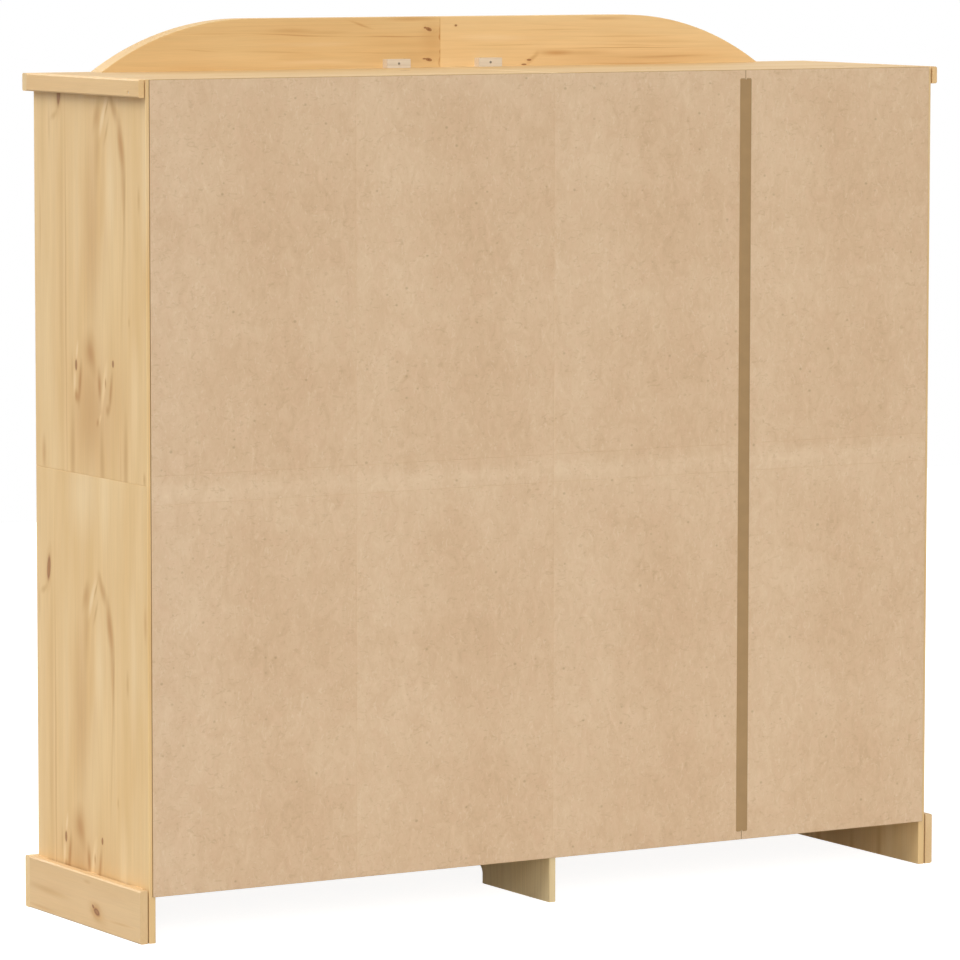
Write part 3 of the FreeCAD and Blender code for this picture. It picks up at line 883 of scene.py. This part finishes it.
def turned_plate(centre: Triple, radius: float) -> Patch:
    """A round plate, turned about an axis along Y, with a bead near its rim and a low boss.

    The height over the back is 1.3 mm, plus a bead of 0.9 mm that falls off as the bell curve
    of the distance from its ring, plus a boss of 1.5 mm that falls off likewise from the middle.

    Args:
        centre: the middle of the back, in mm.
        radius: the radius of the plate.

    Returns:
        The closed patch.
    """
    ring = radius * np.concatenate([np.linspace(0.0, 0.95, 36), [0.985, 1.0, 1.0, 0.0]])[:, None]
    bead = 0.9 * np.exp(-(((ring - 0.88 * radius) / 1.1) ** 2))
    boss = 1.5 * np.exp(-((ring / 6.5) ** 2))
    height = 1.3 + bead + boss
    height[-4:, 0] = [1.1, 0.7, 0.0, 0.0]
    turn = full_turn(72)
    local = np.stack([ring * np.cos(turn), -height * np.ones_like(turn), ring * np.sin(turn)], axis=-1)
    return Patch(local + centre)


def staple_eye(centre: Triple, reach: float, bend: float, bar: float) -> Patch:
    """A round bar that leaves a plate, goes round the eye and comes back into the plate.

    The path is a straight run towards -Y, a half circle in the upright plane, and a straight
    run back. A circle is carried along it, square to the path.

    Args:
        centre: the place on the plate opposite the middle of the eye, in mm.
        reach: from the plate to the middle of the eye.
        bend: the radius of the half circle.
        bar: the radius of the bar.

    Returns:
        The closed patch.
    """
    half_turn = np.linspace(0.0, math.pi, 25)
    forward = np.concatenate([[0.0, reach * 0.5], reach + bend * np.sin(half_turn), [reach * 0.5, 0.0]])
    upward = np.concatenate([[bend, bend], bend * np.cos(half_turn), [-bend, -bend]])
    path = np.stack([np.zeros_like(forward), -forward, upward], axis=-1)
    along = np.gradient(path, axis=0)
    along /= np.linalg.norm(along, axis=1)[:, None]
    aside = np.array([1.0, 0.0, 0.0])
    outward = np.cross(along, aside)[:, None, :]
    turn = full_turn(16)[None, :, None]
    rows = path[:, None, :] + bar * (np.cos(turn) * aside + np.sin(turn) * outward)
    first, last = (np.repeat(path[None, place:place + 1], 16, axis=1) for place in (0, len(path) - 1))
    return Patch(np.concatenate([first, rows, last]) + centre)


def forged_ring(centre: Triple, radius: float, bar: float) -> Patch:
    """A ring of round bar in the upright plane, with shallow hammer marks.

    A circle is carried round a circle. The bar's radius is drawn in by up to 5 percent by the
    product of two waves, eleven round the ring and three round the bar, so it never exceeds
    the bar of the frame.

    Args:
        centre: the middle of the ring, in mm.
        radius: the radius of the bar's middle line.
        bar: the radius of the bar.

    Returns:
        The closed patch.
    """
    round_ring, round_bar = full_turn(96)[:, None], full_turn(20)[None, :]
    marks = 0.025 * (1 + np.sin(11 * round_ring) * np.cos(3 * round_bar + 2 * np.sin(2 * round_ring)))
    thick = bar * (1 - marks)
    outward = radius + thick * np.cos(round_bar)
    local = [outward * np.cos(round_ring), thick * np.sin(round_bar), outward * np.sin(round_ring)]
    return Patch(np.stack(local, axis=-1) + centre, ends_closed=True)


def thin_plate(
    centre: Triple, normal: Triple, half_width: float, half_height: float, thickness: float,
) -> Patch:
    """A stamped plate with round corners and a soft rim.

    Its outline is a superellipse of the eighth power. The rim rises to the face over the last
    4 percent of the outline as a quarter circle.

    Args:
        centre: the middle of the plate's back, in mm.
        normal: the direction out of its face.
        half_width: half of its width.
        half_height: half of its height.
        thickness: its thickness.

    Returns:
        The closed patch.
    """
    turn = full_turn(48)
    level = half_width * np.sign(np.cos(turn)) * abs(np.cos(turn)) ** 0.25
    upward = half_height * np.sign(np.sin(turn)) * abs(np.sin(turn)) ** 0.25
    shares = np.array([0.0, 0.8, 0.96, 0.985, 1.0, 1.0, 0.0])[:, None]
    heights = thickness * np.array([1.0, 1.0, 1.0, 0.85, 0.5, 0.0, 0.0])[:, None]
    local = np.stack([shares * level, shares * upward, heights * np.ones_like(turn)], axis=-1)
    return Patch(local @ upright_basis(normal) + centre)


def node_box(node_name: str) -> tuple[Array, Array]:
    """The lowest and the highest corner of a CAD node, in mm."""
    low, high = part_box(node_name)
    return np.array(low) / MM, np.array(high) / MM


def node_middle(node_name: str) -> Triple:
    """The middle of a CAD node's box, in mm."""
    low, high = node_box(node_name)
    return tuple(float(value) for value in (low + high) / 2)


def dress_board(node_name: str, grain: Grain, **changes: object) -> None:
    """Dresses a board in pine, whose marks are measured from the middle of its box.

    Args:
        node_name: the board's node.
        grain: how it lies.
        changes: other values of the pine, such as another place that marks are measured from.
    """
    values = {"origin": node_middle(node_name), **changes}
    dress(Pine(node_name, grain, **values).material(), node_name)


def plain_board(node_name: str, grain: Grain, seed: int, count: int, **changes: object) -> None:
    """Dresses a board that shows no marks of its own in the photograph.

    Args:
        node_name: the board's node.
        grain: how it lies.
        seed: makes its wood differ from its neighbours'.
        count: how many knots it has.
        changes: other values of the pine.
    """
    low, high = node_box(node_name)
    half = (high - low) / 2
    along, across, _ = grain.value
    scattered = board_knots(seed, half[along], half[across], count)
    dress_board(node_name, grain, seed=float(seed), knots=scattered, **changes)


class Side(Enum):
    """The two halves of the wardrobe, as seen from the front, with the sign of their X."""

    LEFT = -1
    RIGHT = 1

    @property
    def word(self) -> str:
        """The word that ends the names of this half's nodes."""
        return self.name.lower()


def plain_pair(name: str, grain: Grain, seed: int, count: int, **changes: object) -> None:
    """Dresses the left and the right one of two plain boards.

    Args:
        name: what the names of both nodes start with.
        grain: how they lie.
        seed: makes their wood differ from their neighbours'.
        count: how many knots each has.
        changes: other values of the pine.
    """
    for side in Side:
        plain_board(f"{name}_{side.word}", grain, seed + side.value, count, **changes)


# Sub-assemblies


@dataclass
class Carcass:
    """The side boards, the partition, and the level boards between them."""

    # The upper side boards are cut from the same wood as the lower ones, shifted across and along
    shifts: ClassVar[dict[str, tuple[float, float]]] = {"lower": (0.0, 0.0), "upper": (59.0, 994.0)}
    side_knots: tuple[Knot, ...] = knots(
        (169, -122, 13, 5.5, 0.15), (182, 44.5, 8, 4.5, 0.1), (728, -195, 34, 10, 0.25, 0.11),
    )
    side_streaks: tuple[Streak, ...] = streaks(
        # A broad dark flame over the knots; it ends in a point with two legs
        (440, -50, 290, 50, 0.42), (60, -66, 190, 95, 0.3), (90, -20, 190, 200, 0.24), (212, -60, 52, 48, 0.42),
        (186, -50, 56, 26, 0.4, -0.38), (140, -17, 46, 11, 0.65, -0.05),
        # Pale petals round the knots, with dark rims
        (134, -128, 44, 11, -0.5, 0.1), (195, -117, 30, 7, -0.5, 0.15), (134, -104, 60, 11, 0.75, 0.14),
        (109, -120, 20, 15, 0.7), (160, -141, 48, 4.5, 0.4), (133, 4, 72, 14, -0.5, 0.27),
        (138, 11, 18, 5.5, 1), (126, 34, 58, 11, 0.7, 0.18), (88, 20, 20, 10, 0.5, 0.3),
        (70, -15, 16, 7, -0.4, 0.3), (60, -26, 14, 7, 0.45, 0.3),
        # Marks at the foot of the board
        (-20, -140, 130, 18, 0.5), (-40, -6, 130, 17, 0.45), (-16, 100, 130, 14, 0.5), (-40, 76, 110, 7, 0.25),
        (-24, -272, 54, 14, 0.55), (-40, 182, 22, 8, 0.5), (455, -285, 110, 6, 0.3),
        # The upper arch with its pale drop
        (706, 50, 52, 18, 0.65, -0.5), (634, 82, 72, 20, 0.8, -0.18), (556, 94, 112, 14, 0.5, -0.04),
        (470, 100, 170, 10, 0.25), (684, -25, 50, 19, 0.5, 0.35), (620, -22, 110, 18, 0.35, 0.05),
        (682, 2, 62, 14, -0.55, 0.45), (700, 20, 36, 4.5, 0.7, 0.4), (655, 20, 40, 7, 0.45, 0.4),
        # Long lines, broad pale bands, and the pale wood over the arch
        (330, -168, 600, 5, 0.5), (330, -186, 600, 14, 0.22), (400, 92, 280, 6, 0.25, 0.06),
        (519, 162, 40, 8, 0.4), (655, 242, 48, 10, 0.45), (275, 117, 18, 5, 0.4), (540, 35, 170, 28, -0.35),
        (560, 188, 240, 22, -0.35), (120, 140, 200, 24, -0.25), (450, -120, 300, 22, -0.2),
        (900, -40, 130, 90, -0.4), (880, 60, 150, 30, -0.3),
        # The long knot's halo and tail
        (728, -195, 62, 17, 0.45, 0.11), (680, -218, 30, 9, 0.4, 0.89), (655, -240, 60, 8, 0.25),
    )

    def dress_sides(self) -> None:
        """Gives each side board the shared pattern, in its own place."""
        for side in Side:
            for level, shift in self.shifts.items():
                name = f"side_{level}_{side.word}"
                dress_board(
                    name, Grain.UPRIGHT_SIDE, origin=(node_middle(name)[0], *shift), seed=3.0,
                    pale="#E8C893", straw="#DDB77C", knots=self.side_knots, streaks=self.side_streaks,
                    heart=-25.0, heart_spread=1.0, heart_depth=32.0, plank=420.0, joint=-167.0,
                    plank_contrast=0.08, ring_depth=0.2, knot_core="#9C6A34", knot_rim="#93602E",
                )
        LOG.info("side boards dressed")

    def build(self) -> None:
        """Dresses the side boards, the partition, the bottom, the top and the header rails."""
        self.dress_sides()
        # The lower partition takes a paler, greyer copy of the pine: painted light that lifts the leg, which
        # stands in the shade under the bottom boards
        plain_board(
            "partition_lower", Grain.UPRIGHT_SIDE, 11, 4, pale="#E2CC9E", straw="#D8BD8A", late="#BE9A66",
        )
        plain_board("partition_upper", Grain.UPRIGHT_SIDE, 12, 4)
        plain_pair("bottom_board", Grain.LEVEL_SHELF, 20, 4)
        # The top boards take a darker copy of the pine: painted shade, so that the level tops, which face the
        # high lamps, look no brighter than the upright faces
        plain_pair("top_board", Grain.LEVEL_SHELF, 24, 3, pale="#D5B786", straw="#CCA770")
        plain_pair("header_rail", Grain.LEVEL_FRONT, 28, 1)
        LOG.info("inner boards dressed")


@dataclass
class Strips:
    """The plinth and the cornice."""

    screw_radius: float = 2.7
    screw_sink: float = 1.6
    screw_from_rear: float = 46.0
    screw_from_top: float = 27.0
    plinth_knots: tuple[Knot, ...] = knots(
        (58, -17, 22, 11, 0.4, -0.3), (42, -8, 12, 7, 0.55, -0.5),
    )
    plinth_streaks: tuple[Streak, ...] = streaks(
        (58, -17, 34, 22, 0.75, -0.45), (62, -19, 66, 30, 0.35, -0.4), (170, -26, 90, 4, 0.35, 0.03),
        (-170, -6, 130, 11, 0.4, -0.04), (-190, -46, 110, 6, 0.35), (18, 41, 26, 6, 0.35),
    )

    def build(self) -> None:
        """Dresses every strip and puts the screws into the side cornices."""
        plain_pair("cornice_side", Grain.LEVEL_SIDE, 44, 0, pale="#E8C48E", straw="#DDB47A", ring_depth=0.14)
        plain_pair("cornice_front", Grain.LEVEL_FRONT, 48, 2)
        plain_pair("plinth_front", Grain.LEVEL_FRONT, 52, 3)
        steel = ZincSteel("zinc_plated_screw").material()
        for side in Side:
            dress_board(
                f"plinth_side_{side.word}", Grain.LEVEL_SIDE, seed=40.0 + side.value, pale="#E1C191",
                straw="#D6B17D", ring_depth=0.14, knots=self.plinth_knots, streaks=self.plinth_streaks,
                knot_core="#7D4B27",
            )
            low, high = node_box(f"cornice_side_{side.word}")
            face = high[0] if side is Side.RIGHT else low[0]
            x = face - self.screw_sink * side.value
            centre = (x, high[1] - self.screw_from_rear, high[2] - self.screw_from_top)
            head = screw_head(centre, (side.value, 0, 0), self.screw_radius)
            make_piece(f"cornice_screw_{side.word}", [head], CARCASS, steel)
        LOG.info("plinth and cornice dressed")


@dataclass
class Pediment:
    """The two halves of the pediment and the screw blocks behind them."""

    board_top: float = 1760.0
    board_middle: float = -219.5
    level_screw_x: float = 115.0
    upright_screw_x: float = 95.5
    screw_radius: float = 2.8
    right_knots: tuple[Knot, ...] = knots(
        (29, 82, 7.5, 3.8, 0, 0.35), (38, 85.5, 4, 2.2, 0.1), (29, 16.5, 8, 3.4, 0, 0.2),
        (40, 18.5, 5, 1.8, 0.1),
    )
    right_streaks: tuple[Streak, ...] = streaks(
        (115, 67.6, 135, 2.4, 0.75, 0.01), (350, 73, 170, 2.6, 0.6, 0.03), (560, 76.5, 110, 2.2, 0.35),
        (370, 82, 75, 8, 0.4), (290, 79, 100, 5, 0.3), (200, 94, 46, 3.6, 0.55, 0.27), (70, 104, 95, 8, 0.5),
        (140, 32, 150, 2.2, 0.35, 0.015), (400, 37, 130, 2.4, 0.35, 0.02), (590, 42, 70, 2, 0.35, 0.05),
        (311, 14.5, 130, 7, -0.2), (310, 53, 200, 8, -0.15), (0, 50, 4, 90, 1), (20, 60, 46, 60, 0.3),
        # The last streak, a dark line 4 mm above the foot, is painted shade where the half stands on the top
        # boards
        (120, 52, 150, 10, 0.15), (250, 4, 260, 4, 0.2),
    )
    left_knots: tuple[Knot, ...] = knots(
        (-39, 89.5, 3.2, 2.2), (-225, 12.6, 8, 3, 0.3), (-212, 3, 9, 2.4, 0.3),
    )
    left_streaks: tuple[Streak, ...] = streaks(
        # The heart band with its flame
        (-232, 17, 30, 8, 0.5, -0.7), (-288, 28, 66, 10, 0.6), (-360, 27, 120, 9, 0.35),
        (-480, 36.2, 245, 2, 0.65), (-540, 16, 320, 22, 0.2), (-600, 16.5, 175, 4, 0.35),
        # A dark line 2 mm above the foot: painted shade where the half stands on the top boards
        (-500, 2, 210, 2.8, 0.45),
        # Lines over it
        (-300, 78.5, 140, 1.8, 0.35), (-470, 62.6, 190, 2.4, 0.35), (-180, 45.3, 140, 1.8, 0.35),
        (-480, 42, 150, 2, 0.3, 0.02), (-420, 102, 85, 5, 0.35), (-560, 50, 180, 8, 0.15),
        (-140, 62, 140, 12, -0.2), (-430, 8, 330, 26, 0.2),
    )

    def dress_half(self, side: Side, **changes: object) -> None:
        """Dresses one half, whose marks are measured from the joint at the height of the top boards.

        Args:
            side: which half.
            changes: the colours, the marks, with painted shade along the foot, and the heart of its wood.
        """
        origin = (0.0, self.board_middle, self.board_top)
        dress_board(
            f"pediment_{side.word}", Grain.LEVEL_FRONT, origin=origin, ring_depth=0.14, plank=300.0,
            joint=-60.0, heart_spread=5.0, taper=0.01, **changes,
        )

    def build(self) -> None:
        """Dresses both halves and the blocks, and drives a level and an upright screw into each block."""
        self.dress_half(
            Side.RIGHT, seed=61.0, pale="#DEBE87", straw="#D4AA6E", late="#B78549", heart=-60.0,
            knots=self.right_knots, streaks=self.right_streaks, knot_core="#5E3615", knot_rim="#7E5024",
        )
        self.dress_half(
            Side.LEFT, seed=62.0, pale="#E6C58F", straw="#DBB379", late="#BD8C4D", heart=20.0,
            knots=self.left_knots, streaks=self.left_streaks, knot_core="#6E4420",
        )
        plain_board(
            "pediment_blocks", Grain.LEVEL_FRONT, 71, 0, pale="#DDD0BC", straw="#CCBCA4", late="#B39D7E",
        )
        low, high = node_box("pediment_blocks")
        middle = (low + high) / 2
        heads = []
        for side in Side:
            level = (side.value * self.level_screw_x, high[1], middle[2])
            upright = (side.value * self.upright_screw_x, middle[1], high[2])
            for centre, normal in ((level, (0, 1, 0)), (upright, (0, 0, 1))):
                heads.append(screw_head(centre, normal, self.screw_radius))
        # The block screws are coloured a dull dark grey, darker than bare steel: painted shade of the holes
        # that their heads sit in
        steel = WaxedIron("dull_block_screw", "#8E8678", "#ACA496").material()
        make_piece("block_screws", heads, CARCASS, steel)


@dataclass
class Back:
    """The hardboard back and the strip that joins its sheets."""

    quarter: float = 478.5
    half_width: float = 957.0
    field_height: float = 890.0
    field_top: float = 933.0

    def build(self) -> None:
        """Dresses the two sheets and the strip."""
        for sheet in ("back_sheet_wide", "back_sheet_narrow"):
            low, high = node_box(sheet)
            edges = (float(low[0]), float(high[0]), float(low[2]), float(high[2]))
            board = Hardboard(sheet, self.quarter, self.half_width, self.field_height, self.field_top, edges)
            dress(board.material(), sheet)
        dress(MouldedPlastic("joint_strip", "#A18156", 0.55).material(), "back_joint_strip")
        LOG.info("back dressed")


@dataclass
class Fittings:
    """The shelves, rails, sockets, plates and catches inside."""

    half_width: float = 949.5
    half_partition: float = 7.5
    seam_height: float = 938.0
    plate_places: tuple[float, ...] = (-195.0, 195.0)
    plate_thickness: float = 2.0
    plate_screws: tuple[float, ...] = (-34.0, -12.0, 12.0, 34.0)
    plate_screw_radius: float = 3.6
    rail_height: float = 1399.0
    socket_thickness: float = 2.5
    socket_columns: tuple[float, ...] = (-17.0, 17.0)
    socket_rows: tuple[float, ...] = (-20.0, 20.0)
    socket_screw_radius: float = 3.0

    def add_screws(
        self, name: str, proud: float, columns: Sequence[float], heights: Sequence[float], radius: float,
        material: Material,
    ) -> None:
        """Puts the same screws on the four inner faces that carry fittings.

        Args:
            name: the name of the piece that holds all the screws.
            proud: how far the screwed fitting stands out of the face.
            columns: the places in Y.
            heights: the places in Z.
            radius: the radius of the heads.
            material: their finish.
        """
        faces = (
            (-self.half_width, 1), (-self.half_partition, -1),
            (self.half_partition, 1), (self.half_width, -1),
        )
        heads = [
            screw_head((face + out * proud, y, z), (out, 0, 0), radius)
            for face, out in faces for y in columns for z in heights
        ]
        make_piece(name, heads, CARCASS, material)

    def build(self) -> None:
        """Dresses the fittings and adds their screws."""
        plain_pair("hat_shelf", Grain.LEVEL_SHELF, 80, 5)
        plain_pair("hanging_rail", Grain.LEVEL_SHELF, 84, 0)
        zinc = ZincSteel().material()
        dress(zinc, "seam_plates", "shelf_pins")
        dress(MouldedPlastic("socket", "#8A6640", 0.45).material(), "rail_sockets", "catch_cases")
        dress(Beech().material(), "seam_dowels")
        self.add_screws(
            "seam_plate_screws", self.plate_thickness, self.plate_places,
            [self.seam_height + step for step in self.plate_screws], self.plate_screw_radius, zinc,
        )
        self.add_screws(
            "socket_screws", self.socket_thickness, self.socket_columns,
            [self.rail_height + step for step in self.socket_rows], self.socket_screw_radius, zinc,
        )
        LOG.info("inside fittings dressed")


class DoorPlace(Enum):
    """Which board a door hangs on: a side board or the partition.

    The values are the distances of that board's face and of the door's pull from the middle.
    """

    OUTER = (949.5, 511.0)
    INNER = (7.5, 446.0)

    def __init__(self, hung_face: float, pull: float) -> None:
        """Gives both values their names."""
        self.hung_face, self.pull = hung_face, pull

    @property
    def word(self) -> str:
        """The word for this place in the names of nodes."""
        return self.name.lower()


@dataclass
class Door:
    """A framed door with its hinge leaves and screws, its drop-ring pull and its strike."""

    place: DoorPlace
    side: Side
    iron: Material
    zinc: Material
    front: float = -252.5
    thickness: float = 20.0
    stile: float = 62.0
    rail_pitch: float = 770.0
    knot_reach: float = 760.0
    hinge_heights: tuple[float, ...] = (232.0, 916.5, 1601.0)
    leaf_screws: tuple[float, ...] = (-26.0, 0.0, 26.0)
    leaf_screw_radius: float = 2.6
    leaf_middle: float = 10.0
    leaf_thickness: float = 1.2
    hinge_gap: float = 3.0
    pull_height: float = 1010.0
    plate_radius: float = 20.0
    eye_reach: float = 10.0
    eye_bend: float = 4.2
    eye_bar: float = 1.25
    ring_radius: float = 19.0
    ring_bar: float = 2.0
    strike_height: float = 1714.5
    strike_size: Triple = (16.0, 5.5, 0.7)
    strike_screws: tuple[float, ...] = (-10.0, 10.0)
    strike_screw_sink: float = 0.1
    strike_screw_radius: float = 2.2

    @property
    def tail(self) -> str:
        """The words that end the names of this door's body and of its new pieces."""
        return f"{self.place.word}_{self.side.word}"

    @property
    def pull_x(self) -> float:
        """The place of the pull and of the strike in X."""
        return self.side.value * self.place.pull

    def node_name(self, part: str) -> str:
        """The name of the CAD node of one of this door's parts."""
        return f"door_{self.place.word}_{part}_{self.side.word}"

    def build(self) -> list[Patch]:
        """Dresses the door and adds its new pieces.

        Returns:
            The heads of the screws in the leaves on the board, which ride on the carcass.
        """
        self.dress_wood()
        dress(self.iron, self.node_name("hinge_leaves"))
        LOG.info("door %s dressed", self.tail)
        self.build_pull()
        self.build_strike()
        return self.build_hinge_screws()

    def dress_wood(self) -> None:
        """Dresses the frame and the panels."""
        seed = 100 + 10 * self.side.value + (5 if self.place is DoorPlace.OUTER else 0)
        name = self.node_name("frame")
        low, high = node_box(name)
        half_width = float(high[0] - low[0]) / 2
        dress_board(
            name, Grain.UPRIGHT_FRONT, seed=float(seed), framed=(half_width - self.stile, self.rail_pitch),
            plank=200.0, joint=-100.0, heart_spread=30.0,
            knots=board_knots(seed, self.knot_reach, half_width, 6),
        )
        plain_board(
            self.node_name("panels"), Grain.UPRIGHT_FRONT, seed + 1, 7, plank=90.0, joint=-45.0,
            two_ends=True,
        )

    def build_pull(self) -> None:
        """Builds the plate with its eye, and the ring that hangs in the eye."""
        centre = (self.pull_x, self.front, self.pull_height)
        plate = turned_plate(centre, self.plate_radius)
        eye = staple_eye(centre, self.eye_reach, self.eye_bend, self.eye_bar)
        make_piece(
            f"pull_rosette_{self.tail}", [plate, eye], f"door_{self.tail}", self.iron,
            [self.node_name("pull_plate")],
        )
        hung = (self.pull_x, self.front - self.eye_reach, self.pull_height - self.ring_radius)
        ring = forged_ring(hung, self.ring_radius, self.ring_bar)
        make_piece(
            f"pull_drop_ring_{self.tail}", [ring], f"ring_{self.tail}", self.iron,
            [self.node_name("pull_ring")],
        )

    def build_strike(self) -> None:
        """Builds the small steel plate that the catch holds, with its screws."""
        rear = self.front + self.thickness
        half_width, half_height, thickness = self.strike_size
        plate = thin_plate(
            (self.pull_x, rear, self.strike_height), (0, 1, 0), half_width, half_height, thickness,
        )
        seat = rear + thickness - self.strike_screw_sink
        heads = [
            screw_head((self.pull_x + step, seat, self.strike_height), (0, 1, 0), self.strike_screw_radius)
            for step in self.strike_screws
        ]
        make_piece(f"strike_{self.tail}", [plate, *heads], f"door_{self.tail}", self.zinc)

    def build_hinge_screws(self) -> list[Patch]:
        """Builds the screws of the hinge leaves.

        Returns:
            The heads of the screws in the leaves on the board.
        """
        out = self.side.value * (-1 if self.place is DoorPlace.OUTER else 1)
        hung_face = self.side.value * self.place.hung_face
        board_face = hung_face + out * self.leaf_thickness
        door_face = hung_face + out * (self.hinge_gap - self.leaf_thickness)
        y = self.front + self.leaf_middle
        heights = [middle + step for middle in self.hinge_heights for step in self.leaf_screws]
        on_door, on_board = (
            [screw_head((face, y, z), (way, 0, 0), self.leaf_screw_radius) for z in heights]
            for face, way in ((door_face, -out), (board_face, out))
        )
        make_piece(f"hinge_screws_{self.tail}", on_door, f"door_{self.tail}", self.iron)
        return on_board


@dataclass
class Doors:
    """The four doors, and what of their hinges stays on the carcass."""

    def build(self) -> None:
        """Builds and dresses every door."""
        iron = WaxedIron().material()
        zinc = ZincSteel("zinc_plated_strike").material()
        dress(iron, "hinge_leaves_fixed", "hinge_pins")
        fixed_heads = []
        for side in Side:
            for place in DoorPlace:
                fixed_heads += Door(place, side, iron, zinc).build()
        make_piece("hinge_screws_fixed", fixed_heads, CARCASS, iron)


def start_tree(owner: bpy.types.World | Material) -> tuple[partial, Node]:
    """Empties a node tree and works out what is seen directly.

    Args:
        owner: the world or the material that has the tree.

    Returns:
        What adds a node to the tree; and a node that is one for the camera, for gloss and for
        glass, and nought for the light that falls on surfaces.
    """
    owner.use_nodes = True
    owner.node_tree.nodes.clear()
    node = partial(add_node, owner.node_tree)
    path = node("LightPath")
    seen = path.outputs["Is Camera Ray"]
    for ray in ("Is Glossy Ray", "Is Transmission Ray"):
        seen = node("Math", (seen, path.outputs[ray]), operation="MAXIMUM")
    return node, seen


@dataclass
class Studio:
    """The camera at the photograph's angle, the floor, the world and the lamps."""

    azimuth: float = 149.165
    elevation: float = 5.790
    roll: float = 0.070
    distance: float = 12.2239
    focal_pixels: float = 5695.9
    clip: tuple[float, float] = (0.1, 200.0)
    target: Triple = (0.02963, 0.0, 0.88170)
    floor_half: float = 7.0
    floor_glow: float = 0.9
    world_level: float = 0.22
    lamp_width: float = 40.0
    lamp_distance: float = 8.0
    # Name, direction from the middle of the floor, and strength
    lamps: tuple[tuple[str, Triple, float], ...] = (
        ("lamp_side", (0.55, 0.18, 0.81), 1.78),
        ("lamp_behind", (0.30, 0.90, 0.31), 1.7),
        ("lamp_front", (0.15, -0.93, 0.33), 1.35),
        ("lamp_left", (-0.93, -0.24, 0.28), 0.75),
    )

    def build(self) -> None:
        """Sets up the whole studio."""
        self.place_camera()
        self.light_world()
        self.lay_floor()
        self.hang_lamps()
        bpy.context.scene.view_settings.view_transform = "Standard"

    def place_camera(self) -> None:
        """Places the camera from its angles about the target, and its lens from the frame's pixels."""
        angles = (self.azimuth, self.elevation, self.roll)
        azimuth, elevation, roll = (math.radians(angle) for angle in angles)
        back = Vector((
            math.sin(azimuth) * math.cos(elevation),
            -math.cos(azimuth) * math.cos(elevation),
            math.sin(elevation),
        ))
        level = Vector((0, 0, 1)).cross(back).normalized()
        upward = back.cross(level)
        right = level * math.cos(roll) + upward * math.sin(roll)
        upward = upward * math.cos(roll) - level * math.sin(roll)
        data = bpy.data.cameras.new("studio_camera")
        data.sensor_width = SENSOR_WIDTH
        data.lens = self.focal_pixels / FRAME_PIXELS * SENSOR_WIDTH
        data.clip_start, data.clip_end = self.clip
        camera = bpy.data.objects.new("studio_camera", data)
        turn = Matrix((right, upward, back)).transposed().to_4x4()
        camera.matrix_world = Matrix.Translation(Vector(self.target) + back * self.distance) @ turn
        bpy.context.scene.collection.objects.link(camera)
        bpy.context.scene.camera = camera

    def light_world(self) -> None:
        """A soft even sky; what the camera, gloss and glass see of it is plain white."""
        world = bpy.data.worlds.new("studio_world")
        bpy.context.scene.world = world
        node, seen = start_tree(world)
        soft, white = (
            node("Background", {"Color": linear("#FFFFFF"), "Strength": level})
            for level in (self.world_level, 1.0)
        )
        node("OutputWorld", (node("MixShader", (seen, soft, white)),))

    def lay_floor(self) -> None:
        """A plain pale floor that is lifted to white for the camera and keeps the shadow."""
        half = self.floor_half
        corners = [(-half, -half, 0.0), (half, -half, 0.0), (half, half, 0.0), (-half, half, 0.0)]
        mesh = bpy.data.meshes.new("studio_floor")
        mesh.from_pydata(corners, [], [(0, 1, 2, 3)])
        material = bpy.data.materials.new("studio_floor_paper")
        node, seen = start_tree(material)
        paper = node("BsdfDiffuse", {"Color": linear("#B0B0B0")})
        glow = node("Emission", {"Color": linear("#FFFFFF"), "Strength": self.floor_glow})
        lifted = node("AddShader", (paper, glow))
        node("OutputMaterial", (node("MixShader", (seen, paper, lifted)),))
        mesh.materials.append(material)
        floor = bpy.data.objects.new("studio_floor", mesh)
        bpy.context.scene.collection.objects.link(floor)

    def hang_lamps(self) -> None:
        """Hangs wide soft lamps that are far off, so that they light high and low alike."""
        for name, direction, strength in self.lamps:
            data = bpy.data.lights.new(name, "SUN")
            data.energy = strength
            data.angle = math.radians(self.lamp_width)
            lamp = bpy.data.objects.new(name, data)
            away = Vector(direction)
            turn = away.to_track_quat("Z", "Y").to_matrix().to_4x4()
            lamp.matrix_world = Matrix.Translation(away * self.lamp_distance) @ turn
            bpy.context.scene.collection.objects.link(lamp)


def main() -> None:
    """Builds the studio and every sub-assembly in order."""
    logging.basicConfig(level=logging.INFO, format="%(message)s")
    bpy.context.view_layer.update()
    Studio().build()
    for assembly in (Carcass(), Strips(), Pediment(), Back(), Fittings(), Doors()):
        assembly.build()
        LOG.info("%s done", type(assembly).__name__)


if __name__ == "__main__":
    main()
